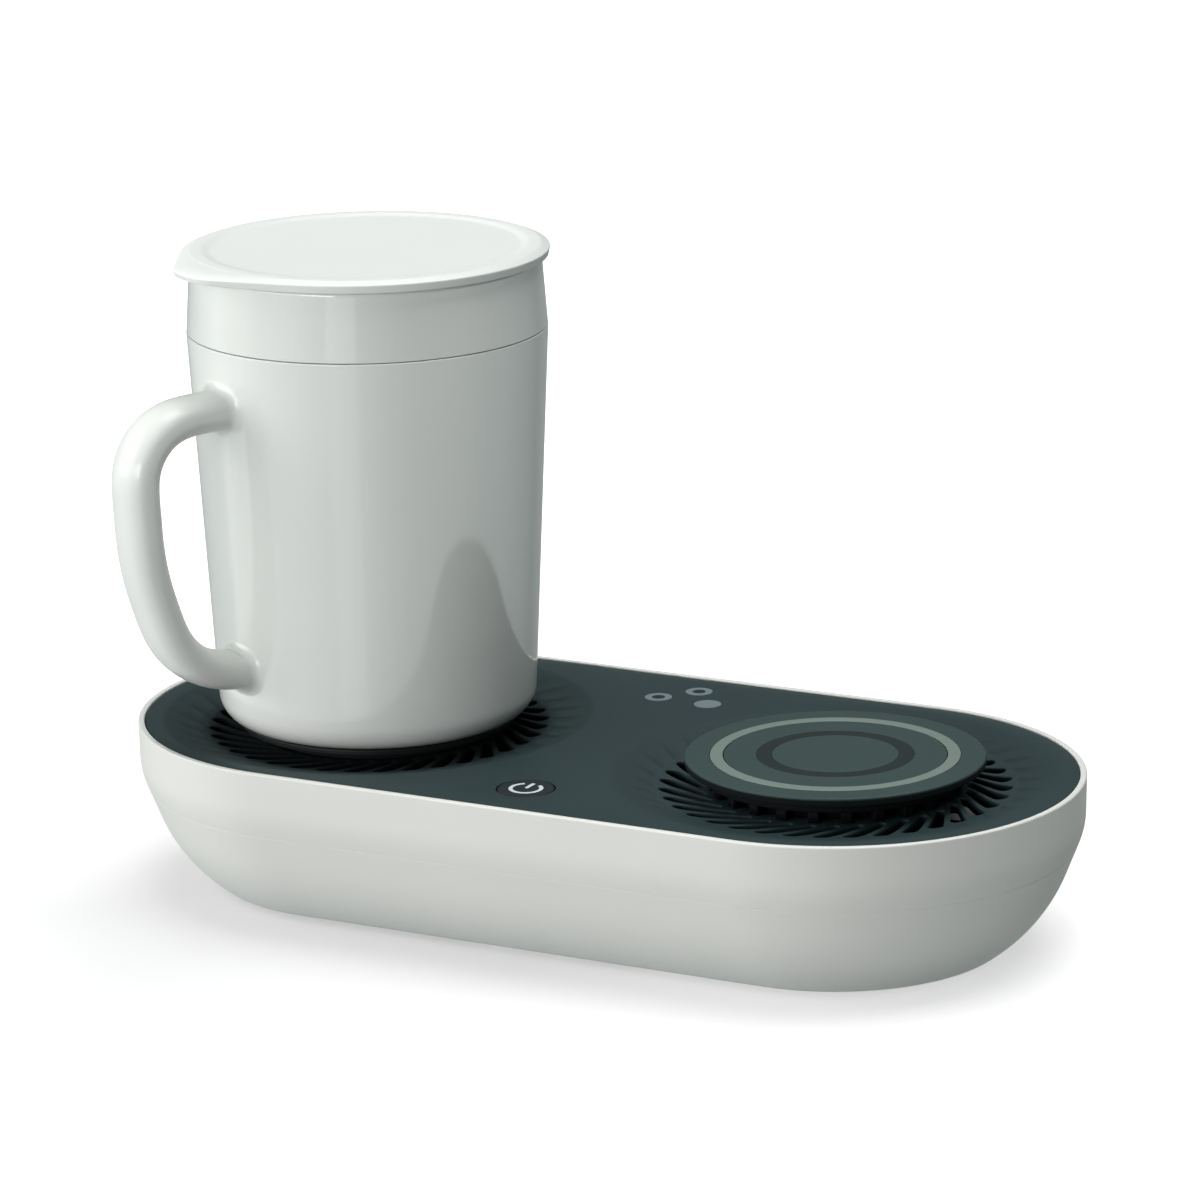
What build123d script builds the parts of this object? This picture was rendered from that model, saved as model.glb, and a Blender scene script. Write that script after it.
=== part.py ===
from build123d import *
import os
from math import cos, floor, radians, sin

os.makedirs("parts", exist_ok=True)

# Electric mug warmer: a racetrack-shaped base with a heated station for a lidded mug at one end
# and a wireless charging pad with a fan below it at the other. Millimetres, +Z up, +X from the mug
# towards the charging pad, origin on the table midway between the two stations.

# ---------------------------------------------------------------- driving dimensions: base outline
RIM_R = 57.5  # outer radius of the casing's rim about each station
STATION_GAP = 5.4  # between the rim circles of the two stations
RIM_Z = 41.0  # height of the rim above the table
FOOT_PROUD = 1.3  # how far the feet lift the casing off the table

# ---------------------------------------------------------------- driving dimensions: casing
CASING_WALL = 2.2
FLOOR_THICKNESS = 2.4
BAND_HEIGHT = 12.6  # upright band below the rim
BAND_DRAFT = 0.2  # how much narrower the band is at its lower edge
STEP_HEIGHT = 3.2  # soft step from the band down to the parting line
STEP_DEPTH = 1.6
SIDE_HEIGHT = 6.2  # straight upper part of the bowl
SIDE_DRAFT = 2.1
FLOOR_R = 39.5  # flat bottom's radius about each station
RIM_LIP = 1.5  # thickness of the lip round the deck
RIM_EDGE = 0.4  # rounding of the lip
LEDGE_WIDTH = 2.6  # ledge that carries the deck
LEDGE_HEIGHT = 2.0
SEAM_EDGE = 0.25  # chamfer either side of the parting line

# ---------------------------------------------------------------- driving dimensions: deck and vents
DECK_GAP = 0.15  # between the deck's edge and the lip
DECK_RECESS = 0.3  # deck's top below the rim
DECK_THICKNESS = 2.2
DISH_MARGIN = 6.0  # from the rim in to the shallow dish round each station
DISH_SLOPE_R = 41.5  # where the dish's slope turns level
DISH_SLOPE_DEPTH = 2.6
DISH_FLAT_R = 34.0
DISH_DEPTH = 3.3
VENT_COUNT = 36  # slots round each station
VENT_TIP_R = 40.6  # outer ends of the slots
VENT_ROOT_R = 30.0  # inner ends
VENT_SWIRL = 15.0  # degrees that a slot turns on its way in
VENT_TIP_WIDTH = 3.5
VENT_ROOT_WIDTH = 1.9

# ---------------------------------------------------------------- driving dimensions: fasteners
CASING_POST_R = 3.2
CASING_POST_X = 22.0  # posts that join the deck to the lower casing
CASING_POST_Y = 33.0
POST_JOINT_DROP = 15.8  # deck posts meet the casing posts this far below the rim
CASING_SCREW_SEAT = 10.0  # height of the recessed screw heads' seats above the table
CASING_SCREW_BITE = 7.0
SCREW_R = 1.5
SCREW_HEAD_R = 2.7
SCREW_HEAD_HEIGHT = 1.9
SMALL_SCREW_R = 1.1
SMALL_HEAD_R = 2.0
SMALL_HEAD_HEIGHT = 1.4
DRIVE_WIDTH = 0.6  # cross recess in a screw head
DRIVE_DEPTH = 0.8
THREAD_GAP = 0.05  # round a screw in its pilot hole
SCREW_GAP = 0.3  # round a screw or its head in a clearance hole

# ---------------------------------------------------------------- driving dimensions: feet and intake
FOOT_R = 6.0
FOOT_RECESS = 1.0  # depth of a foot's pocket in the floor
FOOT_OFFSET_X = 20.8  # feet stand this far outward of their station's axis
FOOT_Y = 21.0
FOOT_EDGE = 0.5
INTAKE_COUNT = 9
INTAKE_PITCH = 6.5
INTAKE_WIDTH = 3.0
INTAKE_LENGTH = 26.0

# ---------------------------------------------------------------- driving dimensions: heated station
PLATE_RISE = 0.0  # heating plate's top above the rim
PLATE_R = 33.0
PLATE_RIM_THICKNESS = 1.6
PLATE_EDGE = 0.4
BLOCK_R = 25.0  # block under the plate, through the deck
BLOCK_DEPTH = 6.5  # plate's top to the block's lower face
SEAL_WIDTH = 2.2
SEAL_GAP = 0.05
SEAL_FLANGE = 1.0  # seal's lip over the deck
SEAL_LIP = 0.8
PELTIER_SIDE = 40.0
PELTIER_HEIGHT = 3.8
PELTIER_PLATE = 0.8  # each ceramic face of the module
PELTIER_INSET = 0.6  # how far the pellets stand in from the faces' edges
PAD_THICKNESS = 0.5
SINK_INSET = 25.5  # heat sink's sides stand this far inside the rim circle
SINK_BASE = 3.0
SINK_FIN_HEIGHT = 16.0
SINK_FIN_THICKNESS = 1.2
SINK_FIN_PITCH = 3.6
SINK_FIN_CLEARANCE = 4.0  # least distance from a screw's centre to a fin's
SINK_SCREW_INSET = 4.0  # from the heat sink's sides in to its screws
SINK_POST_R = 3.0
SINK_SCREW_BITE = 8.0
SENSOR_R = 1.3
SENSOR_LENGTH = 8.0
SENSOR_DEPTH = 4.0  # how far it reaches into the block
SENSOR_PLACE_R = 22.8
SENSOR_GAP = 0.1

# ---------------------------------------------------------------- driving dimensions: charging pad
CAP_RISE = 4.07  # pad's top above the rim
CAP_R = 34.6
CAP_EDGE_HEIGHT = 2.0
CAP_TOP_THICKNESS = 1.8
CAP_EDGE = 0.5
RING_DEPTH = 0.7  # rings let into the cap
LIGHT_RING_R = 28.65
LIGHT_RING_WIDTH = 3.3
DARK_RING_R = 18.0
DARK_RING_WIDTH = 3.3
RING_GAP = 0.15
RING_PROUD = 0.1
CAP_OVERHANG = 3.2  # cap's edge beyond the darker tier under it
TIER_HEIGHT = 2.4
TIER_WALL = 2.0
TIER_FLOOR = 1.2
NECK_R = 25.5
NECK_WALL = 1.2
NECK_FIN_REACH = 3.5
NECK_FIN_COUNT = 24
NECK_FIN_THICKNESS = 2.6
NECK_FLOOR = 2.4
COIL_MARGIN = 1.5  # ferrite sheet beyond the coil
COIL_INNER_R = 10.0
COIL_THICKNESS = 1.3
COIL_TURN_HEIGHT = 0.4
COIL_TURNS = 8
FERRITE_GAP = 0.8  # between the ferrite sheet and the neck's inside
FERRITE_THICKNESS = 0.8
COIL_BOARD_GAP = 1.3  # between the coil's board and the neck's inside
LEAD_HOLE_R = 4.0
PAD_SCREW_R = 16.0  # pitch radius of the screws that hold the pad
PAD_SCREW_COUNT = 3
PAD_SCREW_BITE = 1.8

# ---------------------------------------------------------------- driving dimensions: fan
FAN_DROP = 8.0  # fan frame's top below the rim
FAN_HEIGHT = 15.0
FAN_INSET = 15.5  # fan frame's outside stands this far inside the rim circle
FAN_WALL = 1.6
FAN_TIP_GAP = 1.0
FAN_BLADES = 7
FAN_BLADE_PITCH = 48.0  # degrees from level at the hub
FAN_BLADE_TIP_PITCH = 28.0
FAN_BLADE_ROOT_CHORD = 12.0
FAN_BLADE_CHORD = 16.0  # at the tip
FAN_BLADE_THICKNESS = 1.4
FAN_BLADE_INSET = 1.2  # blades stand in from the frame's top and from its struts
FAN_HUB_R = 16.0
FAN_HUB_WALL = 1.4
FAN_HUB_TOP = 1.6
FAN_STRUT_HEIGHT = 2.4
FAN_STRUT_WIDTH = 4.0
FAN_STRUTS = 4
FAN_BASE_GAP = 0.6  # between the hub's skirt and the motor base
FAN_SHAFT_R = 1.5
FAN_SHAFT_GAP = 0.05
BEARING_WALL = 1.6
BEARING_TUBE_WALL = 1.2
STATOR_R = 11.4
STATOR_POLE_WIDTH = 3.0
STATOR_SHOE = 1.4
STATOR_POLES = 4
STATOR_LIFT = 1.2  # above the motor base
STATOR_HEIGHT = 4.5
FAN_TUBE_HEIGHT = 7.0
SHAFT_END_GAP = 0.3
MAGNET_THICKNESS = 1.8
MAGNET_HEIGHT = 7.0
FAN_EAR_R = 3.6
FAN_EAR_OFFSET = 3.3  # screws outside the fan frame
FAN_EAR_HEIGHT = 3.0
FAN_EAR_COUNT = 3
FAN_POST_R = 3.2
FAN_SCREW_BITE = 8.0

# ---------------------------------------------------------------- driving dimensions: controls
BUTTON_X = 1.3
BUTTON_INSET = 17.2  # from the front rim
BUTTON_R = 6.6
BUTTON_GAP = 0.25
BUTTON_TRAVEL = 0.6
BUTTON_FLANGE = 1.3
BUTTON_FLANGE_HEIGHT = 1.0
BUTTON_EDGE = 0.3
STEM_R = 2.2
ICON_R = 4.0
ICON_STROKE = 0.95
ICON_GAP_ANGLE = 64.0  # opening of the power symbol's ring
ICON_DEPTH = 0.5
PLUNGER_R = 1.6
PLUNGER_GAP = 0.15
SWITCH_SIDE = 7.0
SWITCH_HEIGHT = 3.6
SWITCH_CORNER = 0.6
SWITCH_LIFT = 0.3  # left between stem and switch when the button is pressed home
PLUNGER_REACH = 1.6  # how far the plunger stands in the switch at rest
WINDOW_R = 3.3
WINDOW_CORE_R = 1.6
WINDOW_FLANGE = 0.7
WINDOW_GAP = 0.03
RING_WINDOW_INSETS = [(-4.4, 19.6), (2.5, 11.5)]  # place along the base, and distance in from the rear rim
ROUND_WINDOW_INSET = (9.1, 20.2)
LED_SIDE = 3.5
LED_HEIGHT = 1.6
LED_GAP = 0.3  # between an LED and its window's foot

# ---------------------------------------------------------------- driving dimensions: board and inlet
BOARD_DROP = 13.0  # board's top below the rim
BOARD_SIDE_GAP = 1.2  # between the board's long side and the fan's frame
BOARD_END_GAP = 5.5  # between the board's ends and the bowl's inside
BOARD_THICKNESS = 1.6
BOARD_CORNER = 2.0
BOARD_POST_X = 12.0
BOARD_POST_Y = 26.0
BOARD_POST_R = 3.0
BOARD_SCREW_BITE = 6.0
CAPACITOR_R = 4.0
CAPACITOR_HEIGHT = 7.5
CAPACITOR_EDGE = 0.4
CAPACITOR_PLACES = [(9.0, 14.0), (9.0, 4.0)]
INDUCTOR_R = 5.5
INDUCTOR_HEIGHT = 5.0
INDUCTOR_PLACE = (-7.0, 12.0)
CHIP_HEIGHT = 1.2
# Place on the board, then width and length.
CHIPS = [
    ((-5.0, -6.0), (7.0, 7.0)),
    ((8.0, -10.0), (4.0, 5.0)),
    ((-8.0, -18.0), (4.0, 5.0)),
    ((4.0, 26.0), (5.0, 4.0)),
]
INLET_X = -10.0
INLET_WIDTH = 9.0
INLET_HEIGHT = 8.4
INLET_DEPTH = 10.0
INLET_NOSE_R = 3.9
INLET_BORE_R = 3.2
INLET_BORE_DEPTH = 9.0
INLET_PIN_R = 1.05
INLET_PIN_SETBACK = 0.8
INLET_GAP = 0.15
INLET_RECESS = 0.4  # nose's end behind the casing's skin
INLET_BODY_GAP = 0.4  # between the inlet's body and the ledge

# ---------------------------------------------------------------- driving dimensions: mug and lid
MUG_BASE_R = 37.6  # wall's radius carried down to the mug's bottom
MUG_SEAM_R = 42.5
SEAM_HEIGHT = 94.2  # seam above the mug's bottom
MUG_CORNER_R = 6.5
MUG_WALL = 2.4
COLLAR_HEIGHT = 16.2  # from the seam up to the lid's seat
COLLAR_TAPER = 1.2  # collar's top inside the seam's radius
COLLAR_SETBACK = 0.2  # collar's skin behind the shell's at the seam
COLLAR_SPIGOT = 6.0
COLLAR_SPIGOT_GAP = 0.15
COLLAR_EDGE = 0.6
GASKET_HEIGHT = 0.5
GASKET_SETBACK = 0.5
MOUTH_INSET = 5.3  # liner's inside at the mouth, inside the seam's radius
LINER_WALL = 0.8
LINER_BASE_GAP = 2.8  # air between the liner's foot and the shell's wall
LINER_CORNER_R = 6.0
BASE_RING = 8.6  # ring of the shell's floor round the base disc, out to the wall's skin
BASE_DISC_GAP = 0.1
BASE_FLANGE = 2.0  # base disc's flange over the shell's floor
BASE_FLANGE_HEIGHT = 0.8
HANDLE_ANGLE = -116.0  # direction of the handle about the mug's axis, from +X
HANDLE_WIDTH = 13.5
HANDLE_DEPTH = 9.0  # thickness along the grip's plane
HANDLE_TOP_INSET = 13.7  # upper arm's centreline below the seam
HANDLE_TOP_DROP = 0.8  # upper arm falls this much on its way out
HANDLE_BOTTOM_Z = 17.0  # heights above the mug's bottom, on the handle's centreline
HANDLE_HEEL_RISE = 2.5
HANDLE_REACH = 66.0  # centreline's furthest radius
HANDLE_WAIST_Z = 46.0  # where the grip starts to turn in
HANDLE_WAIST_R = 64.4
HANDLE_HEEL_R = 55.5  # lower corner of the centreline
HANDLE_TOP_BEND = 14.0
HANDLE_WAIST_BEND = 60.0
HANDLE_HEEL_BEND = 20.0
HANDLE_ROOT_FILLET = 2.5
LID_OVERHANG = 2.5  # lid's edge beyond the collar's top
LID_FLANGE_HEIGHT = 1.9
LID_UNDERCUT = 1.1  # flange's underside rises this much to its edge
LID_RIM_WIDTH = 5.2  # flat rim, from the lid's edge to the step down to the sunk disc
LID_STEP_WIDTH = 1.7
LID_SINK = 1.6
LID_DISC_THICKNESS = 1.8
LID_SKIRT_GAP = 0.6  # between the lid's skirt and the mug's mouth
LID_SKIRT_WALL = 1.7
LID_SKIRT_DEPTH = 7.0
LID_SEAL_HEIGHT = 2.2
LID_SEAL_GROOVE = 0.8
LID_SEAL_LIFT = 1.2  # seal above the skirt's foot
LID_SEAL_GAP = 0.3  # between the seal and the mug's mouth
LID_EDGE = 0.4
TAB_ANGLE = -121.0
TAB_LENGTH = 5.2  # beyond the lid's edge
TAB_WIDTH = 15.0
TAB_ROOT_WIDTH = 30.0
TAB_THICKNESS = 1.5

# ---------------------------------------------------------------- places worked out from the sizes
UP = (Align.CENTER, Align.CENTER, Align.MIN)
DOWN = (Align.CENTER, Align.CENTER, Align.MAX)
STATION_SPACING = 2 * RIM_R + STATION_GAP  # from the mug's axis to the charging pad's axis
HALF_SPACING = STATION_SPACING / 2
BAND_Z = RIM_Z - BAND_HEIGHT
PARTING_Z = BAND_Z - STEP_HEIGHT
PARTING_R = RIM_R - BAND_DRAFT - STEP_DEPTH
FLOOR_Z = FOOT_PROUD + FLOOR_THICKNESS
FOOT_X = HALF_SPACING + FOOT_OFFSET_X
DECK_TOP = RIM_Z - DECK_RECESS
DECK_BOTTOM = DECK_TOP - DECK_THICKNESS
DISH_R = RIM_R - DISH_MARGIN
HUB_TOP = DECK_TOP - DISH_DEPTH
HUB_BOTTOM = HUB_TOP - DECK_THICKNESS
SEAT_Z = RIM_Z + PLATE_RISE
BLOCK_Z = SEAT_Z - BLOCK_DEPTH
PELTIER_TOP = BLOCK_Z - PAD_THICKNESS
PELTIER_BOTTOM = PELTIER_TOP - PELTIER_HEIGHT
SINK_TOP = PELTIER_BOTTOM - PAD_THICKNESS
SINK_UNDERSIDE = SINK_TOP - SINK_BASE
SINK_SIDE = 2 * (RIM_R - SINK_INSET)
SINK_SCREW_OFFSET = SINK_SIDE / 2 - SINK_SCREW_INSET
SINK_FIN_COUNT = 2 * floor((SINK_SCREW_OFFSET - SINK_FIN_CLEARANCE) / SINK_FIN_PITCH) + 1
CAP_TOP = RIM_Z + CAP_RISE
CAP_UNDERSIDE = CAP_TOP - CAP_TOP_THICKNESS
CAP_EDGE_Z = CAP_TOP - CAP_EDGE_HEIGHT
PAD_FLOOR = HUB_TOP + NECK_FLOOR
TIER_Z = CAP_EDGE_Z - TIER_HEIGHT
TIER_R = CAP_R - CAP_OVERHANG
NECK_INNER_R = NECK_R - NECK_WALL
NECK_FIN_R = NECK_R + NECK_FIN_REACH
FERRITE_R = NECK_INNER_R - FERRITE_GAP
COIL_R = FERRITE_R - COIL_MARGIN
COIL_BOARD_R = NECK_INNER_R - COIL_BOARD_GAP
COIL_Z = CAP_UNDERSIDE - COIL_THICKNESS
FERRITE_Z = COIL_Z - FERRITE_THICKNESS
FAN_R = RIM_R - FAN_INSET
FAN_EAR_PITCH_R = FAN_R + FAN_EAR_OFFSET
FAN_TOP = RIM_Z - FAN_DROP
FAN_BOTTOM = FAN_TOP - FAN_HEIGHT
FAN_BASE_TOP = FAN_BOTTOM + FAN_STRUT_HEIGHT
HUB_SKIRT_Z = FAN_BASE_TOP + FAN_BASE_GAP
ROTOR_TOP = FAN_TOP - FAN_BLADE_INSET
BEARING_R = FAN_SHAFT_R + FAN_SHAFT_GAP + BEARING_WALL
BEARING_TUBE_R = BEARING_R + BEARING_TUBE_WALL
MAGNET_R = FAN_HUB_R - FAN_HUB_WALL
BOARD_TOP = RIM_Z - BOARD_DROP
BOARD_BOTTOM = BOARD_TOP - BOARD_THICKNESS
BOARD_WIDTH = 2 * (HALF_SPACING - FAN_R - BOARD_SIDE_GAP)
BOARD_LENGTH = 2 * (PARTING_R - CASING_WALL - BOARD_END_GAP)
POST_JOINT_Z = RIM_Z - POST_JOINT_DROP
BUTTON_Y = BUTTON_INSET - RIM_R
SWITCH_TOP = BOARD_TOP + SWITCH_HEIGHT
RING_WINDOWS = [(x, RIM_R - inset) for x, inset in RING_WINDOW_INSETS]
ROUND_WINDOW = (ROUND_WINDOW_INSET[0], RIM_R - ROUND_WINDOW_INSET[1])
SEAM_Z = SEAT_Z + SEAM_HEIGHT
COLLAR_TOP = SEAM_Z + COLLAR_HEIGHT
COLLAR_TOP_R = MUG_SEAM_R - COLLAR_TAPER
MOUTH_R = MUG_SEAM_R - MOUTH_INSET
LINER_TOP_R = MOUTH_R + LINER_WALL
LINER_BASE_R = MUG_BASE_R - MUG_WALL - LINER_BASE_GAP
BASE_DISC_R = MUG_BASE_R - BASE_RING
HANDLE_TOP_Z = SEAM_HEIGHT - HANDLE_TOP_INSET
LID_TOP = COLLAR_TOP + LID_FLANGE_HEIGHT + LID_UNDERCUT
LID_R = COLLAR_TOP_R + LID_OVERHANG
LID_STEP_R = LID_R - LID_RIM_WIDTH
LID_DISC_R = LID_STEP_R - LID_STEP_WIDTH
LID_SKIRT_R = MOUTH_R - LID_SKIRT_GAP
TAB_REACH = LID_R + TAB_LENGTH
CASING_POSTS = [(x, y) for x in (-CASING_POST_X, CASING_POST_X) for y in (-CASING_POST_Y, CASING_POST_Y)]
BOARD_POSTS = [(x, y) for x in (-BOARD_POST_X, BOARD_POST_X) for y in (-BOARD_POST_Y, BOARD_POST_Y)]
FEET = [(x, y) for x in (-FOOT_X, FOOT_X) for y in (-FOOT_Y, FOOT_Y)]
MUG_AXIS = Axis((-HALF_SPACING, 0, 0), (0, 0, 1))
PAD_AXIS = Axis((HALF_SPACING, 0, 0), (0, 0, 1))
# Half sections are drawn on these planes: radius from the station's axis across, height up.
MUG_SECTION = Plane(origin=(-HALF_SPACING, 0, 0), x_dir=(1, 0, 0), z_dir=(0, -1, 0))
PAD_SECTION = Plane(origin=(HALF_SPACING, 0, 0), x_dir=(1, 0, 0), z_dir=(0, -1, 0))


def level(height, station=0):
    """The level plane at a height, centred on the mug's station (-1), the pad's (1) or midway (0)."""
    return Plane(origin=(station * HALF_SPACING, 0, height))


def racetrack(section):
    """Carries a half section round both stations: half a turn at each end and straight runs between."""
    with BuildPart() as solid:
        for end in (-1, 1):
            across = Plane(origin=(end * HALF_SPACING, 0, 0), x_dir=(0, -end, 0), z_dir=(-end, 0, 0))
            with BuildSketch(across) as side:
                add(section)
            extrude(amount=STATION_SPACING)
            turn = Axis((end * HALF_SPACING, 0, 0), (0, 0, 1))
            revolve(side.sketch, axis=turn, revolution_arc=180)
    return solid.part


def bowl_section(inset, floor):
    """Half section of the bowl, filled in to the middle, with its skin set in and its floor raised."""
    with BuildSketch() as section:
        with BuildLine():
            side = Line((PARTING_R - inset, PARTING_Z), (PARTING_R - SIDE_DRAFT - inset, PARTING_Z - SIDE_HEIGHT))
            turn = TangentArc(side @ 1, (FLOOR_R - inset, floor), tangent=side % 1)
            Polyline(turn @ 1, (0, floor), (0, PARTING_Z), side @ 0)
        make_face()
    return section.sketch


def dish_section(top):
    """Half section of a dish that opens at a height: a slope, a round turn and a level hub."""
    with BuildSketch() as section:
        with BuildLine():
            slope = Line((DISH_R, top), (DISH_SLOPE_R, top - DISH_SLOPE_DEPTH))
            turn = TangentArc(slope @ 1, (DISH_FLAT_R, top - DISH_DEPTH), tangent=slope % 1)
            Polyline(turn @ 1, (0, top - DISH_DEPTH), (0, top), slope @ 0)
        make_face()
    return section.sketch


def power_symbol():
    """A ring with a gap at the top and an upright bar in the gap, both of the same stroke."""
    with BuildSketch() as symbol:
        Circle(ICON_R)
        Circle(ICON_R - ICON_STROKE, mode=Mode.SUBTRACT)
        with BuildLine() as wedge:
            half = radians(ICON_GAP_ANGLE / 2)
            side, top = 2 * ICON_R * sin(half), 2 * ICON_R * cos(half)
            Polyline((0, 0), (side, top), (-side, top), (0, 0))
        make_face(wedge.edges(), mode=Mode.SUBTRACT)
        with Locations((0, ICON_R / 2)):
            SlotOverall(ICON_R, ICON_STROKE, rotation=90)
    return symbol.sketch


# ================================================================ casing
with BuildPart() as bowl_outside:
    add(racetrack(bowl_section(0, FOOT_PROUD)))

with BuildPart() as bowl_inside:
    add(racetrack(bowl_section(CASING_WALL, FLOOR_Z)))

# Every post that stands on the floor, before it is trimmed to the bowl's outside.
with BuildPart() as posts:
    with Locations(*[(x, y, FOOT_PROUD) for x, y in CASING_POSTS]):
        Cylinder(CASING_POST_R, POST_JOINT_Z - FOOT_PROUD, align=UP)
    with Locations(*[(x, y, FOOT_PROUD) for x, y in BOARD_POSTS]):
        Cylinder(BOARD_POST_R, BOARD_BOTTOM - FOOT_PROUD, align=UP)
    with Locations((-HALF_SPACING, 0, FOOT_PROUD)):
        with GridLocations(2 * SINK_SCREW_OFFSET, 2 * SINK_SCREW_OFFSET, 2, 2):
            Cylinder(SINK_POST_R, SINK_UNDERSIDE - FOOT_PROUD, align=UP)
    with Locations((HALF_SPACING, 0, FOOT_PROUD)):
        with PolarLocations(FAN_EAR_PITCH_R, FAN_EAR_COUNT):
            Cylinder(FAN_POST_R, FAN_BOTTOM - FOOT_PROUD, align=UP)
    add(bowl_outside.part, mode=Mode.INTERSECT)

with BuildPart() as lower_casing:
    add(bowl_outside.part)
    add(bowl_inside.part, mode=Mode.SUBTRACT)
    chamfer(lower_casing.faces().sort_by(Axis.Z)[-1].outer_wire().edges(), SEAM_EDGE)
    add(posts.part)
    with Locations(*[(x, y, FOOT_PROUD) for x, y in FEET]):
        Cylinder(FOOT_R, FOOT_RECESS, align=UP, mode=Mode.SUBTRACT)
    # Screw wells from below, and pilot holes in the posts from above.
    with Locations(*[(x, y, FOOT_PROUD) for x, y in CASING_POSTS]):
        Cylinder(SCREW_HEAD_R + SCREW_GAP, CASING_SCREW_SEAT - FOOT_PROUD, align=UP, mode=Mode.SUBTRACT)
        Cylinder(SCREW_R + SCREW_GAP, POST_JOINT_Z - FOOT_PROUD, align=UP, mode=Mode.SUBTRACT)
    with Locations(*[(x, y, BOARD_BOTTOM) for x, y in BOARD_POSTS]):
        Cylinder(SMALL_SCREW_R + THREAD_GAP, BOARD_SCREW_BITE + SMALL_SCREW_R, align=DOWN, mode=Mode.SUBTRACT)
    with Locations((-HALF_SPACING, 0, SINK_UNDERSIDE)):
        with GridLocations(2 * SINK_SCREW_OFFSET, 2 * SINK_SCREW_OFFSET, 2, 2):
            Cylinder(SMALL_SCREW_R + THREAD_GAP, SINK_SCREW_BITE + SMALL_SCREW_R, align=DOWN, mode=Mode.SUBTRACT)
    with Locations((HALF_SPACING, 0, FAN_BOTTOM)):
        with PolarLocations(FAN_EAR_PITCH_R, FAN_EAR_COUNT):
            Cylinder(SCREW_R + THREAD_GAP, FAN_SCREW_BITE + SCREW_R, align=DOWN, mode=Mode.SUBTRACT)
    # Intake slots under the heat sink.
    with BuildSketch(level(FOOT_PROUD, -1)):
        with GridLocations(INTAKE_PITCH, 0, INTAKE_COUNT, 1):
            SlotOverall(INTAKE_LENGTH, INTAKE_WIDTH, rotation=90)
    extrude(amount=FLOOR_THICKNESS, mode=Mode.SUBTRACT)
lower_casing.part.label = "lower_casing"
export_step(lower_casing.part, "parts/lower_casing.step")

with BuildSketch() as band_section:
    with BuildLine():
        lip_r = RIM_R - RIM_LIP
        ledge_r = lip_r - LEDGE_WIDTH
        Polyline(
            (RIM_R, RIM_Z),
            (RIM_R - BAND_DRAFT, BAND_Z),
            (PARTING_R, PARTING_Z + SEAM_EDGE),
            (PARTING_R - SEAM_EDGE, PARTING_Z),
            (PARTING_R - CASING_WALL, PARTING_Z),
            (RIM_R - BAND_DRAFT - CASING_WALL, BAND_Z),
            (RIM_R - CASING_WALL, DECK_BOTTOM - LEDGE_HEIGHT),
            (ledge_r, DECK_BOTTOM - LEDGE_HEIGHT),
            (ledge_r, DECK_BOTTOM),
            (lip_r, DECK_BOTTOM),
            (lip_r, RIM_Z),
            (RIM_R, RIM_Z),
        )
    make_face()
    fillet(band_section.vertices().group_by(Axis.Y)[-1], RIM_EDGE)

with BuildPart() as upper_casing:
    add(racetrack(band_section.sketch))
    inlet_axis_z = BOARD_TOP + INLET_HEIGHT / 2
    with BuildSketch(Plane.XZ) as inlet_hole:
        with Locations((INLET_X, inlet_axis_z)):
            Circle(INLET_NOSE_R + INLET_GAP)
    extrude(amount=-(RIM_R + CASING_WALL), mode=Mode.SUBTRACT)
upper_casing.part.label = "upper_casing"
export_step(upper_casing.part, "parts/upper_casing.step")

with BuildPart() as feet:
    with Locations(*[(x, y, 0) for x, y in FEET]):
        Cylinder(FOOT_R, FOOT_PROUD + FOOT_RECESS, align=UP)
    chamfer(feet.faces().group_by(Axis.Z)[0].edges(), FOOT_EDGE)
feet.part.label = "feet"
export_step(feet.part, "parts/feet.step")

with BuildPart() as casing_screws:
    with Locations(*[(x, y, CASING_SCREW_SEAT) for x, y in CASING_POSTS]):
        Cylinder(SCREW_HEAD_R, SCREW_HEAD_HEIGHT, align=DOWN)
        Cylinder(SCREW_R, POST_JOINT_Z + CASING_SCREW_BITE - CASING_SCREW_SEAT, align=UP)
    with Locations(*[(x, y, CASING_SCREW_SEAT - SCREW_HEAD_HEIGHT) for x, y in CASING_POSTS]):
        Box(SCREW_HEAD_R, DRIVE_WIDTH, DRIVE_DEPTH, align=UP, mode=Mode.SUBTRACT)
        Box(DRIVE_WIDTH, SCREW_HEAD_R, DRIVE_DEPTH, align=UP, mode=Mode.SUBTRACT)
casing_screws.part.label = "casing_screws"
export_step(casing_screws.part, "parts/casing_screws.step")

# ================================================================ deck
# One vent slot: the outline round a wide outer end and a narrower inner end that swirls ahead.
with BuildSketch() as vent:
    with Locations((VENT_TIP_R - VENT_TIP_WIDTH / 2, 0)):
        Circle(VENT_TIP_WIDTH / 2)
    root_centre_r = VENT_ROOT_R + VENT_ROOT_WIDTH / 2
    with Locations((root_centre_r * cos(radians(VENT_SWIRL)), root_centre_r * sin(radians(VENT_SWIRL)))):
        Circle(VENT_ROOT_WIDTH / 2)
    make_hull()

WINDOW_PLACES = RING_WINDOWS + [ROUND_WINDOW]
SEAL_R = BLOCK_R + SEAL_WIDTH

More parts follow.
